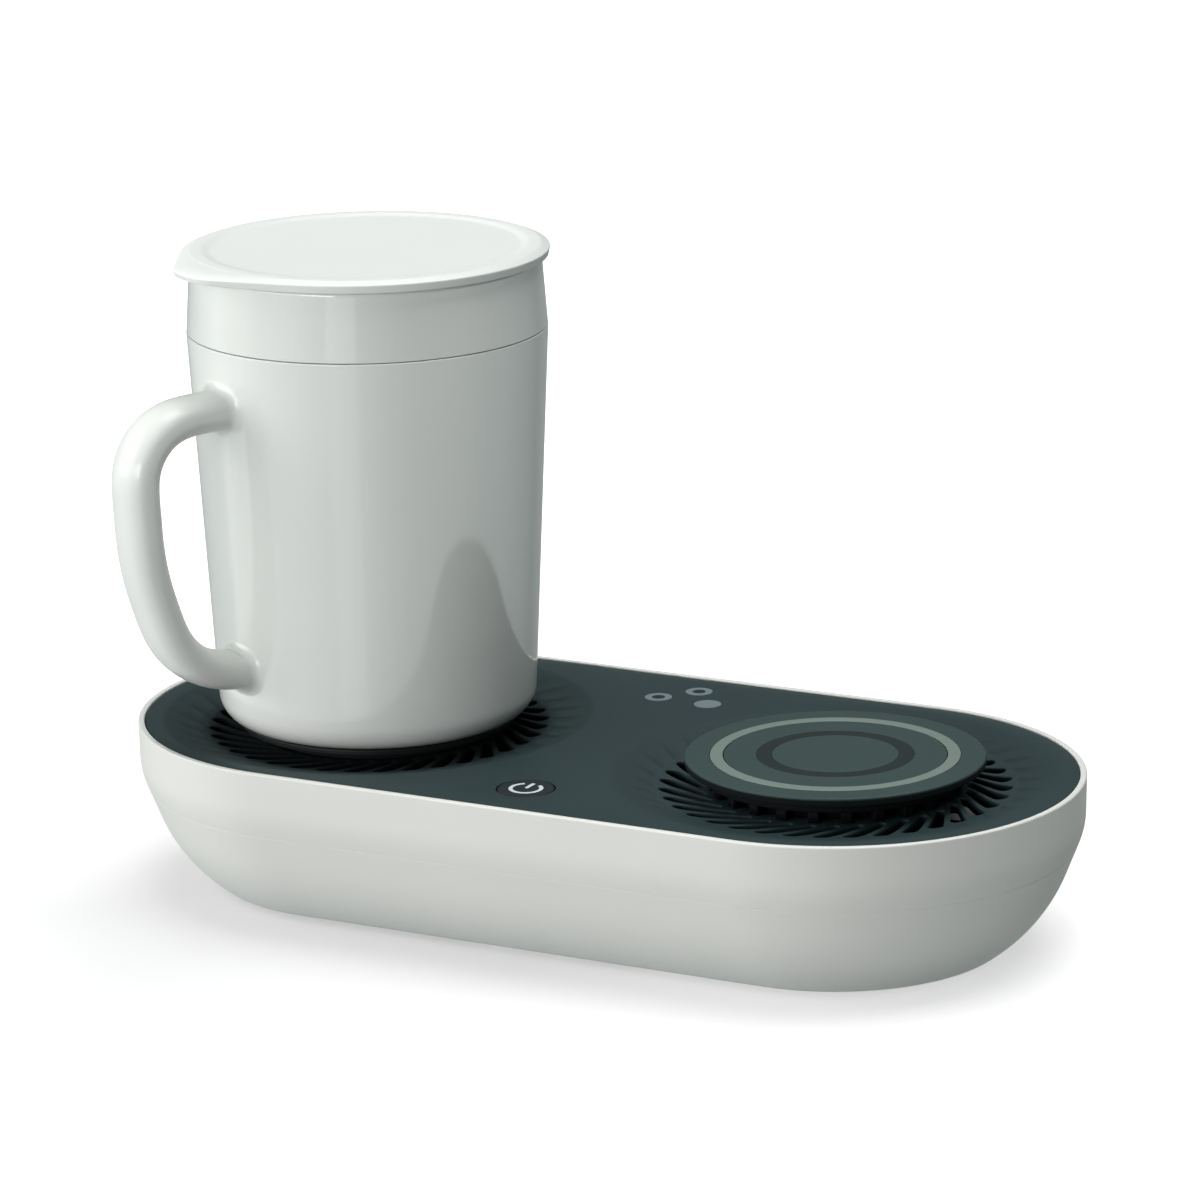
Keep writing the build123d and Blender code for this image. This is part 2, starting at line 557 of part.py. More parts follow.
with BuildPart() as deck:
    with BuildSketch(level(DECK_BOTTOM)):
        SlotCenterToCenter(STATION_SPACING, 2 * (RIM_R - RIM_LIP - DECK_GAP))
    extrude(amount=DECK_THICKNESS)
    for axis, plane in ((MUG_AXIS, MUG_SECTION), (PAD_AXIS, PAD_SECTION)):
        with BuildSketch(plane):
            add(dish_section(DECK_BOTTOM))
        revolve(axis=axis)
        with BuildSketch(plane):
            add(dish_section(DECK_TOP))
        revolve(axis=axis, mode=Mode.SUBTRACT)
    with Locations(*[(x, y, DECK_BOTTOM) for x, y in CASING_POSTS]):
        Cylinder(CASING_POST_R, DECK_BOTTOM - POST_JOINT_Z, align=DOWN)
    for station in (-1, 1):
        with BuildSketch(level(HUB_BOTTOM, station)):
            with PolarLocations(0, VENT_COUNT):
                add(vent.sketch)
        extrude(amount=DECK_TOP - HUB_BOTTOM, mode=Mode.SUBTRACT)
    with Locations(*[(x, y, POST_JOINT_Z) for x, y in CASING_POSTS]):
        Cylinder(SCREW_R + THREAD_GAP, CASING_SCREW_BITE + SCREW_R, align=UP, mode=Mode.SUBTRACT)
    with BuildSketch(level(HUB_BOTTOM, -1)):
        Circle(SEAL_R)
    extrude(amount=DECK_THICKNESS, mode=Mode.SUBTRACT)
    with BuildSketch(level(HUB_BOTTOM, 1)):
        Circle(LEAD_HOLE_R)
        with PolarLocations(PAD_SCREW_R, PAD_SCREW_COUNT):
            Circle(SMALL_SCREW_R + SCREW_GAP)
    extrude(amount=DECK_THICKNESS, mode=Mode.SUBTRACT)
    with BuildSketch(level(DECK_BOTTOM)):
        with Locations((BUTTON_X, BUTTON_Y)):
            Circle(BUTTON_R + BUTTON_GAP)
        with Locations(*WINDOW_PLACES):
            Circle(WINDOW_R + WINDOW_GAP)
    extrude(amount=DECK_THICKNESS, mode=Mode.SUBTRACT)
deck.part.label = "deck"
export_step(deck.part, "parts/deck.step")

# ================================================================ heated station
with BuildPart() as heating_plate:
    with BuildSketch(MUG_SECTION):
        with BuildLine():
            Polyline(
                (0, BLOCK_Z),
                (BLOCK_R, BLOCK_Z),
                (BLOCK_R, SEAT_Z - PLATE_RIM_THICKNESS),
                (PLATE_R, SEAT_Z - PLATE_RIM_THICKNESS),
                (PLATE_R, SEAT_Z - PLATE_EDGE),
                (PLATE_R - PLATE_EDGE, SEAT_Z),
                (0, SEAT_Z),
                (0, BLOCK_Z),
            )
        make_face()
    revolve(axis=MUG_AXIS)
    # Blind hole from below for the temperature sensor, beside the module.
    with Locations((-HALF_SPACING, SENSOR_PLACE_R, BLOCK_Z)):
        Cylinder(SENSOR_R + SENSOR_GAP, SENSOR_DEPTH, align=UP, mode=Mode.SUBTRACT)
heating_plate.part.label = "heating_plate"
export_step(heating_plate.part, "parts/heating_plate.step")

with BuildPart() as plate_seal:
    with BuildSketch(MUG_SECTION):
        with BuildLine():
            seal_in = BLOCK_R + SEAL_GAP
            seal_out = SEAL_R - SEAL_GAP
            Polyline(
                (seal_in, HUB_BOTTOM),
                (seal_out, HUB_BOTTOM),
                (seal_out, HUB_TOP),
                (seal_out + SEAL_FLANGE, HUB_TOP),
                (seal_out + SEAL_FLANGE, HUB_TOP + SEAL_LIP),
                (seal_in, HUB_TOP + SEAL_LIP),
                (seal_in, HUB_BOTTOM),
            )
        make_face()
    revolve(axis=MUG_AXIS)
plate_seal.part.label = "plate_seal"
export_step(plate_seal.part, "parts/plate_seal.step")

with BuildPart() as temperature_sensor:
    with Locations((-HALF_SPACING, SENSOR_PLACE_R, BLOCK_Z + SENSOR_DEPTH)):
        Cylinder(SENSOR_R, SENSOR_LENGTH, align=DOWN)
    fillet(temperature_sensor.faces().sort_by(Axis.Z)[0].edges(), SENSOR_R / 2)
temperature_sensor.part.label = "temperature_sensor"
export_step(temperature_sensor.part, "parts/temperature_sensor.step")

with BuildPart() as thermal_pads:
    for pad_z in (PELTIER_TOP, SINK_TOP):
        with BuildSketch(level(pad_z, -1)):
            Rectangle(PELTIER_SIDE, PELTIER_SIDE)
        extrude(amount=PAD_THICKNESS)
thermal_pads.part.label = "thermal_pads"
export_step(thermal_pads.part, "parts/thermal_pads.step")

with BuildPart() as peltier_module:
    for plate_z in (PELTIER_BOTTOM, PELTIER_TOP - PELTIER_PLATE):
        with BuildSketch(level(plate_z, -1)):
            Rectangle(PELTIER_SIDE, PELTIER_SIDE)
        extrude(amount=PELTIER_PLATE)
    with BuildSketch(level(PELTIER_BOTTOM + PELTIER_PLATE, -1)):
        pellet_side = PELTIER_SIDE - 2 * PELTIER_INSET
        Rectangle(pellet_side, pellet_side)
    extrude(amount=PELTIER_HEIGHT - 2 * PELTIER_PLATE)
peltier_module.part.label = "peltier_module"
export_step(peltier_module.part, "parts/peltier_module.step")

with BuildPart() as heat_sink:
    with BuildSketch(level(SINK_UNDERSIDE, -1)):
        Rectangle(SINK_SIDE, SINK_SIDE)
        with GridLocations(2 * SINK_SCREW_OFFSET, 2 * SINK_SCREW_OFFSET, 2, 2):
            Circle(SMALL_SCREW_R + SCREW_GAP, mode=Mode.SUBTRACT)
    extrude(amount=SINK_BASE)
    with BuildSketch(level(SINK_UNDERSIDE, -1)):
        with GridLocations(0, SINK_FIN_PITCH, 1, SINK_FIN_COUNT):
            Rectangle(SINK_SIDE, SINK_FIN_THICKNESS)
    extrude(amount=-SINK_FIN_HEIGHT)
heat_sink.part.label = "heat_sink"
export_step(heat_sink.part, "parts/heat_sink.step")

with BuildPart() as heat_sink_screws:
    with Locations((-HALF_SPACING, 0, SINK_TOP)):
        with GridLocations(2 * SINK_SCREW_OFFSET, 2 * SINK_SCREW_OFFSET, 2, 2):
            Cylinder(SMALL_HEAD_R, SMALL_HEAD_HEIGHT, align=UP)
            Cylinder(SMALL_SCREW_R, SINK_BASE + SINK_SCREW_BITE, align=DOWN)
    with Locations((-HALF_SPACING, 0, SINK_TOP + SMALL_HEAD_HEIGHT)):
        with GridLocations(2 * SINK_SCREW_OFFSET, 2 * SINK_SCREW_OFFSET, 2, 2):
            Box(SMALL_HEAD_R, DRIVE_WIDTH, DRIVE_DEPTH, align=DOWN, mode=Mode.SUBTRACT)
            Box(DRIVE_WIDTH, SMALL_HEAD_R, DRIVE_DEPTH, align=DOWN, mode=Mode.SUBTRACT)
heat_sink_screws.part.label = "heat_sink_screws"
export_step(heat_sink_screws.part, "parts/heat_sink_screws.step")

# ================================================================ charging pad
with BuildPart() as pad_cap:
    with BuildSketch(PAD_SECTION) as cap_section:
        with BuildLine():
            Polyline(
                (0, CAP_UNDERSIDE),
                (TIER_R - TIER_WALL, CAP_UNDERSIDE),
                (TIER_R - TIER_WALL, CAP_EDGE_Z),
                (CAP_R, CAP_EDGE_Z),
                (CAP_R, CAP_TOP),
                (0, CAP_TOP),
                (0, CAP_UNDERSIDE),
            )
        make_face()
        fillet(cap_section.vertices().group_by(Axis.X)[-1], CAP_EDGE)
        for ring_r, ring_width in ((LIGHT_RING_R, LIGHT_RING_WIDTH), (DARK_RING_R, DARK_RING_WIDTH)):
            with Locations((ring_r + RING_GAP, CAP_TOP)):
                Rectangle(
                    ring_width + 2 * RING_GAP,
                    RING_DEPTH,
                    align=(Align.MAX, Align.MAX),
                    mode=Mode.SUBTRACT,
                )
    revolve(axis=PAD_AXIS)
pad_cap.part.label = "pad_cap"
export_step(pad_cap.part, "parts/pad_cap.step")

with BuildPart() as pad_light_ring:
    with BuildSketch(level(CAP_TOP - RING_DEPTH, 1)):
        Circle(LIGHT_RING_R)
        Circle(LIGHT_RING_R - LIGHT_RING_WIDTH, mode=Mode.SUBTRACT)
    extrude(amount=RING_DEPTH + RING_PROUD)
    chamfer(pad_light_ring.faces().sort_by(Axis.Z)[-1].edges(), RING_PROUD)
pad_light_ring.part.label = "pad_light_ring"
export_step(pad_light_ring.part, "parts/pad_light_ring.step")

with BuildPart() as pad_dark_ring:
    with BuildSketch(level(CAP_TOP - RING_DEPTH, 1)):
        Circle(DARK_RING_R)
        Circle(DARK_RING_R - DARK_RING_WIDTH, mode=Mode.SUBTRACT)
    extrude(amount=RING_DEPTH)
pad_dark_ring.part.label = "pad_dark_ring"
export_step(pad_dark_ring.part, "parts/pad_dark_ring.step")

with BuildPart() as pad_base:
    with BuildSketch(PAD_SECTION):
        with BuildLine():
            Polyline(
                (0, HUB_TOP),
                (NECK_R, HUB_TOP),
                (NECK_R, TIER_Z),
                (TIER_R, TIER_Z),
                (TIER_R, CAP_EDGE_Z),
                (TIER_R - TIER_WALL, CAP_EDGE_Z),
                (TIER_R - TIER_WALL, TIER_Z + TIER_FLOOR),
                (NECK_INNER_R, TIER_Z + TIER_FLOOR),
                (NECK_INNER_R, PAD_FLOOR),
                (0, PAD_FLOOR),
                (0, HUB_TOP),
            )
        make_face()
    revolve(axis=PAD_AXIS)
    with BuildSketch(level(HUB_TOP, 1)):
        with PolarLocations((NECK_R + NECK_FIN_R) / 2, NECK_FIN_COUNT):
            Rectangle(NECK_FIN_R - NECK_R + NECK_WALL, NECK_FIN_THICKNESS)
        Circle(NECK_R - NECK_WALL / 2, mode=Mode.SUBTRACT)
    extrude(amount=TIER_Z - HUB_TOP)
    with BuildSketch(level(HUB_TOP, 1)):
        Circle(LEAD_HOLE_R)
        with PolarLocations(PAD_SCREW_R, PAD_SCREW_COUNT):
            Circle(SMALL_SCREW_R + THREAD_GAP)
    extrude(amount=NECK_FLOOR, mode=Mode.SUBTRACT)
pad_base.part.label = "pad_base"
export_step(pad_base.part, "parts/pad_base.step")

with BuildPart() as charging_coil:
    with BuildSketch(PAD_SECTION):
        with Locations((COIL_INNER_R, CAP_UNDERSIDE)):
            Rectangle(
                COIL_R - COIL_INNER_R, COIL_THICKNESS - COIL_TURN_HEIGHT, align=(Align.MIN, Align.MAX)
            )
        turn_pitch = (COIL_R - COIL_INNER_R) / COIL_TURNS
        with Locations(*[(COIL_INNER_R + (n + 0.5) * turn_pitch, COIL_Z) for n in range(COIL_TURNS)]):
            Rectangle(turn_pitch / 2, COIL_TURN_HEIGHT, align=(Align.CENTER, Align.MIN))
    revolve(axis=PAD_AXIS)
charging_coil.part.label = "charging_coil"
export_step(charging_coil.part, "parts/charging_coil.step")

with BuildPart() as ferrite_sheet:
    with BuildSketch(level(FERRITE_Z, 1)):
        Circle(FERRITE_R)
        Circle(LEAD_HOLE_R, mode=Mode.SUBTRACT)
    extrude(amount=FERRITE_THICKNESS)
ferrite_sheet.part.label = "ferrite_sheet"
export_step(ferrite_sheet.part, "parts/ferrite_sheet.step")

with BuildPart() as coil_board:
    with BuildSketch(level(PAD_FLOOR, 1)):
        Circle(COIL_BOARD_R)
        Circle(LEAD_HOLE_R, mode=Mode.SUBTRACT)
    extrude(amount=FERRITE_Z - PAD_FLOOR)
coil_board.part.label = "coil_board"
export_step(coil_board.part, "parts/coil_board.step")

with BuildPart() as pad_screws:
    with Locations((HALF_SPACING, 0, HUB_BOTTOM)):
        with PolarLocations(PAD_SCREW_R, PAD_SCREW_COUNT):
            Cylinder(SMALL_HEAD_R, SMALL_HEAD_HEIGHT, align=DOWN)
            Cylinder(SMALL_SCREW_R, DECK_THICKNESS + PAD_SCREW_BITE, align=UP)
    with Locations((HALF_SPACING, 0, HUB_BOTTOM - SMALL_HEAD_HEIGHT)):
        with PolarLocations(PAD_SCREW_R, PAD_SCREW_COUNT):
            Box(SMALL_HEAD_R, DRIVE_WIDTH, DRIVE_DEPTH, align=UP, mode=Mode.SUBTRACT)
            Box(DRIVE_WIDTH, SMALL_HEAD_R, DRIVE_DEPTH, align=UP, mode=Mode.SUBTRACT)
pad_screws.part.label = "pad_screws"
export_step(pad_screws.part, "parts/pad_screws.step")

# ================================================================ fan
with BuildPart() as fan_frame:
    with BuildSketch(level(FAN_BOTTOM, 1)):
        Circle(FAN_R)
        Circle(FAN_R - FAN_WALL, mode=Mode.SUBTRACT)
    extrude(amount=FAN_HEIGHT)
    with BuildSketch(level(FAN_BOTTOM, 1)):
        Circle(FAN_HUB_R)
        with PolarLocations((FAN_R - FAN_WALL) / 2, FAN_STRUTS, start_angle=45):
            Rectangle(FAN_R - FAN_WALL / 2, FAN_STRUT_WIDTH)
    extrude(amount=FAN_STRUT_HEIGHT)
    with BuildSketch(level(FAN_BOTTOM, 1)) as ears:
        with PolarLocations(FAN_EAR_PITCH_R, FAN_EAR_COUNT):
            Circle(FAN_EAR_R)
        with PolarLocations((FAN_EAR_PITCH_R + FAN_R) / 2, FAN_EAR_COUNT):
            Rectangle(FAN_EAR_PITCH_R - FAN_R + FAN_WALL, 2 * FAN_EAR_R)
        Circle(FAN_R - FAN_WALL / 2, mode=Mode.SUBTRACT)
        with PolarLocations(FAN_EAR_PITCH_R, FAN_EAR_COUNT):
            Circle(SCREW_R + SCREW_GAP, mode=Mode.SUBTRACT)
    extrude(amount=FAN_EAR_HEIGHT)
    with BuildSketch(level(FAN_BASE_TOP, 1)):
        Circle(BEARING_TUBE_R)
    extrude(amount=FAN_TUBE_HEIGHT)
    with BuildSketch(level(FAN_BOTTOM + FAN_STRUT_HEIGHT / 2, 1)):
        Circle(BEARING_R)
    extrude(amount=FAN_STRUT_HEIGHT + FAN_TUBE_HEIGHT, mode=Mode.SUBTRACT)
fan_frame.part.label = "fan_frame"
export_step(fan_frame.part, "parts/fan_frame.step")

with BuildPart() as fan_bearing:
    with BuildSketch(level(FAN_BOTTOM + FAN_STRUT_HEIGHT / 2, 1)):
        Circle(BEARING_R)
        Circle(FAN_SHAFT_R + FAN_SHAFT_GAP, mode=Mode.SUBTRACT)
    extrude(amount=FAN_STRUT_HEIGHT / 2 + FAN_TUBE_HEIGHT)
fan_bearing.part.label = "fan_bearing"
export_step(fan_bearing.part, "parts/fan_bearing.step")

with BuildPart() as fan_stator:
    with BuildSketch(level(FAN_BASE_TOP + STATOR_LIFT, 1)):
        Circle(BEARING_TUBE_R + STATOR_SHOE)
        with PolarLocations(STATOR_R / 2, STATOR_POLES):
            Rectangle(STATOR_R, STATOR_POLE_WIDTH)
        Circle(BEARING_TUBE_R, mode=Mode.SUBTRACT)
    extrude(amount=STATOR_HEIGHT)
    with BuildSketch(level(FAN_BASE_TOP + STATOR_LIFT, 1)):
        Circle(STATOR_R)
        Circle(STATOR_R - STATOR_SHOE, mode=Mode.SUBTRACT)
        with PolarLocations(STATOR_R, STATOR_POLES, start_angle=180 / STATOR_POLES):
            Rectangle(4 * STATOR_SHOE, STATOR_POLE_WIDTH, mode=Mode.SUBTRACT)
    extrude(amount=STATOR_HEIGHT)
    with BuildSketch(level(FAN_BASE_TOP, 1)):
        Circle(BEARING_TUBE_R + STATOR_SHOE)
        Circle(BEARING_TUBE_R, mode=Mode.SUBTRACT)
    extrude(amount=STATOR_LIFT)
fan_stator.part.label = "fan_stator"
export_step(fan_stator.part, "parts/fan_stator.step")

with BuildPart() as fan_screws:
    with Locations((HALF_SPACING, 0, FAN_BOTTOM + FAN_EAR_HEIGHT)):
        with PolarLocations(FAN_EAR_PITCH_R, FAN_EAR_COUNT):
            Cylinder(SCREW_HEAD_R, SCREW_HEAD_HEIGHT, align=UP)
            Cylinder(SCREW_R, FAN_EAR_HEIGHT + FAN_SCREW_BITE, align=DOWN)
    with Locations((HALF_SPACING, 0, FAN_BOTTOM + FAN_EAR_HEIGHT + SCREW_HEAD_HEIGHT)):
        with PolarLocations(FAN_EAR_PITCH_R, FAN_EAR_COUNT):
            Box(SCREW_HEAD_R, DRIVE_WIDTH, DRIVE_DEPTH, align=DOWN, mode=Mode.SUBTRACT)
            Box(DRIVE_WIDTH, SCREW_HEAD_R, DRIVE_DEPTH, align=DOWN, mode=Mode.SUBTRACT)
fan_screws.part.label = "fan_screws"
export_step(fan_screws.part, "parts/fan_screws.step")

# A blade is lofted from the hub out, flatter at its tip.
BLADE_TIP_R = FAN_R - FAN_WALL - FAN_TIP_GAP
with BuildPart() as fan_blade:
    blade_mid_z = (ROTOR_TOP + HUB_SKIRT_Z) / 2
    for blade_r, pitch in ((FAN_HUB_R - FAN_HUB_WALL / 2, FAN_BLADE_PITCH), (BLADE_TIP_R, FAN_BLADE_TIP_PITCH)):
        chord = FAN_BLADE_CHORD * blade_r / BLADE_TIP_R + FAN_BLADE_ROOT_CHORD * (1 - blade_r / BLADE_TIP_R)
        with BuildSketch(Plane(origin=(blade_r, 0, blade_mid_z), x_dir=(0, 1, 0), z_dir=(1, 0, 0))):
            RectangleRounded(chord, FAN_BLADE_THICKNESS, FAN_BLADE_THICKNESS / 2.5, rotation=pitch)
    loft()

with BuildPart() as fan_impeller:
    with BuildSketch(level(HUB_SKIRT_Z, 1)):
        Circle(FAN_HUB_R)
    extrude(amount=ROTOR_TOP - HUB_SKIRT_Z)
    with BuildSketch(level(HUB_SKIRT_Z, 1)):
        Circle(MAGNET_R)
    extrude(amount=ROTOR_TOP - FAN_HUB_TOP - HUB_SKIRT_Z, mode=Mode.SUBTRACT)
    with Locations((HALF_SPACING, 0, 0)):
        with PolarLocations(0, FAN_BLADES):
            add(fan_blade.part)
    with BuildSketch(level(HUB_SKIRT_Z, 1)):
        Circle(FAN_SHAFT_R)
    extrude(amount=ROTOR_TOP - FAN_HUB_TOP / 2 - HUB_SKIRT_Z, mode=Mode.SUBTRACT)
fan_impeller.part.label = "fan_impeller"
export_step(fan_impeller.part, "parts/fan_impeller.step")

with BuildPart() as fan_magnet:
    with BuildSketch(level(HUB_SKIRT_Z, 1)):
        Circle(MAGNET_R)
        Circle(MAGNET_R - MAGNET_THICKNESS, mode=Mode.SUBTRACT)
    extrude(amount=MAGNET_HEIGHT)
fan_magnet.part.label = "fan_magnet"
export_step(fan_magnet.part, "parts/fan_magnet.step")

with BuildPart() as fan_shaft:
    shaft_foot = FAN_BOTTOM + FAN_STRUT_HEIGHT / 2 + SHAFT_END_GAP
    with BuildSketch(level(shaft_foot, 1)):
        Circle(FAN_SHAFT_R)
    extrude(amount=ROTOR_TOP - FAN_HUB_TOP / 2 - shaft_foot)
fan_shaft.part.label = "fan_shaft"
export_step(fan_shaft.part, "parts/fan_shaft.step")

# ================================================================ controls
STEM_FOOT = SWITCH_TOP + BUTTON_TRAVEL + SWITCH_LIFT
BUTTON_FLANGE_Z = DECK_BOTTOM - BUTTON_FLANGE_HEIGHT
with BuildPart() as power_button:
    with BuildSketch(Plane(origin=(BUTTON_X, BUTTON_Y, 0), x_dir=(1, 0, 0), z_dir=(0, -1, 0))):
        with BuildLine():
            Polyline(
                (0, STEM_FOOT),
                (STEM_R, STEM_FOOT),
                (STEM_R, BUTTON_FLANGE_Z),
                (BUTTON_R + BUTTON_FLANGE, BUTTON_FLANGE_Z),
                (BUTTON_R + BUTTON_FLANGE, DECK_BOTTOM),
                (BUTTON_R, DECK_BOTTOM),
                (BUTTON_R, DECK_TOP - BUTTON_EDGE),
                (BUTTON_R - BUTTON_EDGE, DECK_TOP),
                (0, DECK_TOP),
                (0, STEM_FOOT),
            )
        make_face()
    revolve(axis=Axis((BUTTON_X, BUTTON_Y, 0), (0, 0, 1)))
    with BuildSketch(Plane(origin=(BUTTON_X, BUTTON_Y, DECK_TOP))):
        add(power_symbol())
    extrude(amount=-ICON_DEPTH, mode=Mode.SUBTRACT)
power_button.part.label = "power_button"
export_step(power_button.part, "parts/power_button.step")

with BuildPart() as button_icon:
    with BuildSketch(Plane(origin=(BUTTON_X, BUTTON_Y, DECK_TOP - ICON_DEPTH))):
        add(power_symbol())
    extrude(amount=ICON_DEPTH)
button_icon.part.label = "button_icon"
export_step(button_icon.part, "parts/button_icon.step")

with BuildPart() as button_plunger:
    with Locations((BUTTON_X, BUTTON_Y, STEM_FOOT)):
        Cylinder(PLUNGER_R, STEM_FOOT - SWITCH_TOP + PLUNGER_REACH, align=DOWN)
button_plunger.part.label = "button_plunger"
export_step(button_plunger.part, "parts/button_plunger.step")

with BuildPart() as button_switch:
    with BuildSketch(Plane(origin=(BUTTON_X, BUTTON_Y, BOARD_TOP))):
        RectangleRounded(SWITCH_SIDE, SWITCH_SIDE, SWITCH_CORNER)
    extrude(amount=SWITCH_HEIGHT)
    with Locations((BUTTON_X, BUTTON_Y, SWITCH_TOP)):
        well_depth = PLUNGER_REACH + BUTTON_TRAVEL + SWITCH_LIFT
        Cylinder(PLUNGER_R + PLUNGER_GAP, well_depth, align=DOWN, mode=Mode.SUBTRACT)
button_switch.part.label = "button_switch"
export_step(button_switch.part, "parts/button_switch.step")

LED_TOP = BOARD_TOP + LED_HEIGHT
WINDOW_FOOT = LED_TOP + LED_GAP
with BuildPart() as indicator_windows:
    with Locations(*[(x, y, DECK_TOP) for x, y in WINDOW_PLACES]):
        Cylinder(WINDOW_R, DECK_TOP - WINDOW_FOOT, align=DOWN)
    with Locations(*[(x, y, DECK_BOTTOM) for x, y in WINDOW_PLACES]):
        Cylinder(WINDOW_R + WINDOW_FLANGE, WINDOW_FLANGE, align=DOWN)
    with Locations(*[(x, y, DECK_TOP) for x, y in RING_WINDOWS]):
        Cylinder(WINDOW_CORE_R, DECK_THICKNESS, align=DOWN, mode=Mode.SUBTRACT)
indicator_windows.part.label = "indicator_windows"
export_step(indicator_windows.part, "parts/indicator_windows.step")

with BuildPart() as window_cores:
    with Locations(*[(x, y, DECK_TOP) for x, y in RING_WINDOWS]):
        Cylinder(WINDOW_CORE_R, DECK_THICKNESS, align=DOWN)
window_cores.part.label = "window_cores"
export_step(window_cores.part, "parts/window_cores.step")

with BuildPart() as indicator_leds:
    with Locations(*[(x, y, BOARD_TOP) for x, y in WINDOW_PLACES]):
        Box(LED_SIDE, LED_SIDE, LED_HEIGHT, align=UP)
indicator_leds.part.label = "indicator_leds"
export_step(indicator_leds.part, "parts/indicator_leds.step")

# ================================================================ board and power inlet
with BuildPart() as main_board:
    with BuildSketch(level(BOARD_BOTTOM)):
        RectangleRounded(BOARD_WIDTH, BOARD_LENGTH, BOARD_CORNER)
        with Locations(*BOARD_POSTS):
            Circle(SMALL_SCREW_R + SCREW_GAP, mode=Mode.SUBTRACT)
    extrude(amount=BOARD_THICKNESS)
main_board.part.label = "main_board"
export_step(main_board.part, "parts/main_board.step")

with BuildPart() as board_screws:
    with Locations(*[(x, y, BOARD_TOP) for x, y in BOARD_POSTS]):
        Cylinder(SMALL_HEAD_R, SMALL_HEAD_HEIGHT, align=UP)
        Cylinder(SMALL_SCREW_R, BOARD_THICKNESS + BOARD_SCREW_BITE, align=DOWN)
    with Locations(*[(x, y, BOARD_TOP + SMALL_HEAD_HEIGHT) for x, y in BOARD_POSTS]):
        Box(SMALL_HEAD_R, DRIVE_WIDTH, DRIVE_DEPTH, align=DOWN, mode=Mode.SUBTRACT)
        Box(DRIVE_WIDTH, SMALL_HEAD_R, DRIVE_DEPTH, align=DOWN, mode=Mode.SUBTRACT)
board_screws.part.label = "board_screws"
export_step(board_screws.part, "parts/board_screws.step")

with BuildPart() as capacitors:
    with Locations(*[(x, y, BOARD_TOP) for x, y in CAPACITOR_PLACES]):
        Cylinder(CAPACITOR_R, CAPACITOR_HEIGHT, align=UP)
    chamfer(capacitors.faces().group_by(Axis.Z)[-1].edges(), CAPACITOR_EDGE)
capacitors.part.label = "capacitors"
export_step(capacitors.part, "parts/capacitors.step")

with BuildPart() as inductor:
    with BuildSketch(Plane(origin=(*INDUCTOR_PLACE, BOARD_TOP))):
        RectangleRounded(2 * INDUCTOR_R, 2 * INDUCTOR_R, INDUCTOR_R / 3)
    extrude(amount=INDUCTOR_HEIGHT)
inductor.part.label = "inductor"
export_step(inductor.part, "parts/inductor.step")

with BuildPart() as chips:
    for (x, y), (wide, long) in CHIPS:
        with BuildSketch(Plane(origin=(x, y, BOARD_TOP))):
            Rectangle(wide, long)
        extrude(amount=CHIP_HEIGHT)
chips.part.label = "chips"
export_step(chips.part, "parts/chips.step")

# The inlet's nose stands in the rear wall, its outer end just short of the casing's skin.
INLET_AXIS_Z = BOARD_TOP + INLET_HEIGHT / 2
INLET_FACE_Y = RIM_R - BAND_DRAFT - INLET_RECESS
INLET_BODY_Y = RIM_R - RIM_LIP - LEDGE_WIDTH - INLET_BODY_GAP
INLET_PLANE = Plane(origin=(INLET_X, INLET_FACE_Y, INLET_AXIS_Z), x_dir=(-1, 0, 0), z_dir=(0, 1, 0))
with BuildPart() as power_inlet:
    with Locations((INLET_X, INLET_BODY_Y, BOARD_TOP)):
        Box(INLET_WIDTH, INLET_DEPTH, INLET_HEIGHT, align=(Align.CENTER, Align.MAX, Align.MIN))
    with BuildSketch(INLET_PLANE):
        Circle(INLET_NOSE_R)
    extrude(amount=INLET_BODY_Y - INLET_FACE_Y)
    with BuildSketch(INLET_PLANE):
        Circle(INLET_BORE_R)
    extrude(amount=-INLET_BORE_DEPTH, mode=Mode.SUBTRACT)
power_inlet.part.label = "power_inlet"
export_step(power_inlet.part, "parts/power_inlet.step")

with BuildPart() as inlet_pin:
    with BuildSketch(INLET_PLANE.offset(-INLET_BORE_DEPTH)):
        Circle(INLET_PIN_R)
    extrude(amount=INLET_BORE_DEPTH - INLET_PIN_SETBACK)
    fillet(inlet_pin.faces().sort_by(Axis.Y)[-1].edges(), INLET_PIN_R / 2)
inlet_pin.part.label = "inlet_pin"
export_step(inlet_pin.part, "parts/inlet_pin.step")

# ================================================================ mug
SHELL_SLOPE = (MUG_SEAM_R - MUG_BASE_R) / SEAM_HEIGHT
with BuildSketch(MUG_SECTION) as mug_outline:
    with BuildLine():
        Polyline((0, SEAT_Z), (MUG_BASE_R, SEAT_Z), (MUG_SEAM_R, SEAM_Z), (0, SEAM_Z), (0, SEAT_Z))
    make_face()
    fillet(mug_outline.vertices().group_by(Axis.Y)[0].sort_by(Axis.X)[-1], MUG_CORNER_R)

with BuildPart() as mug_outside:
    add(mug_outline.sketch)
    revolve(axis=MUG_AXIS)

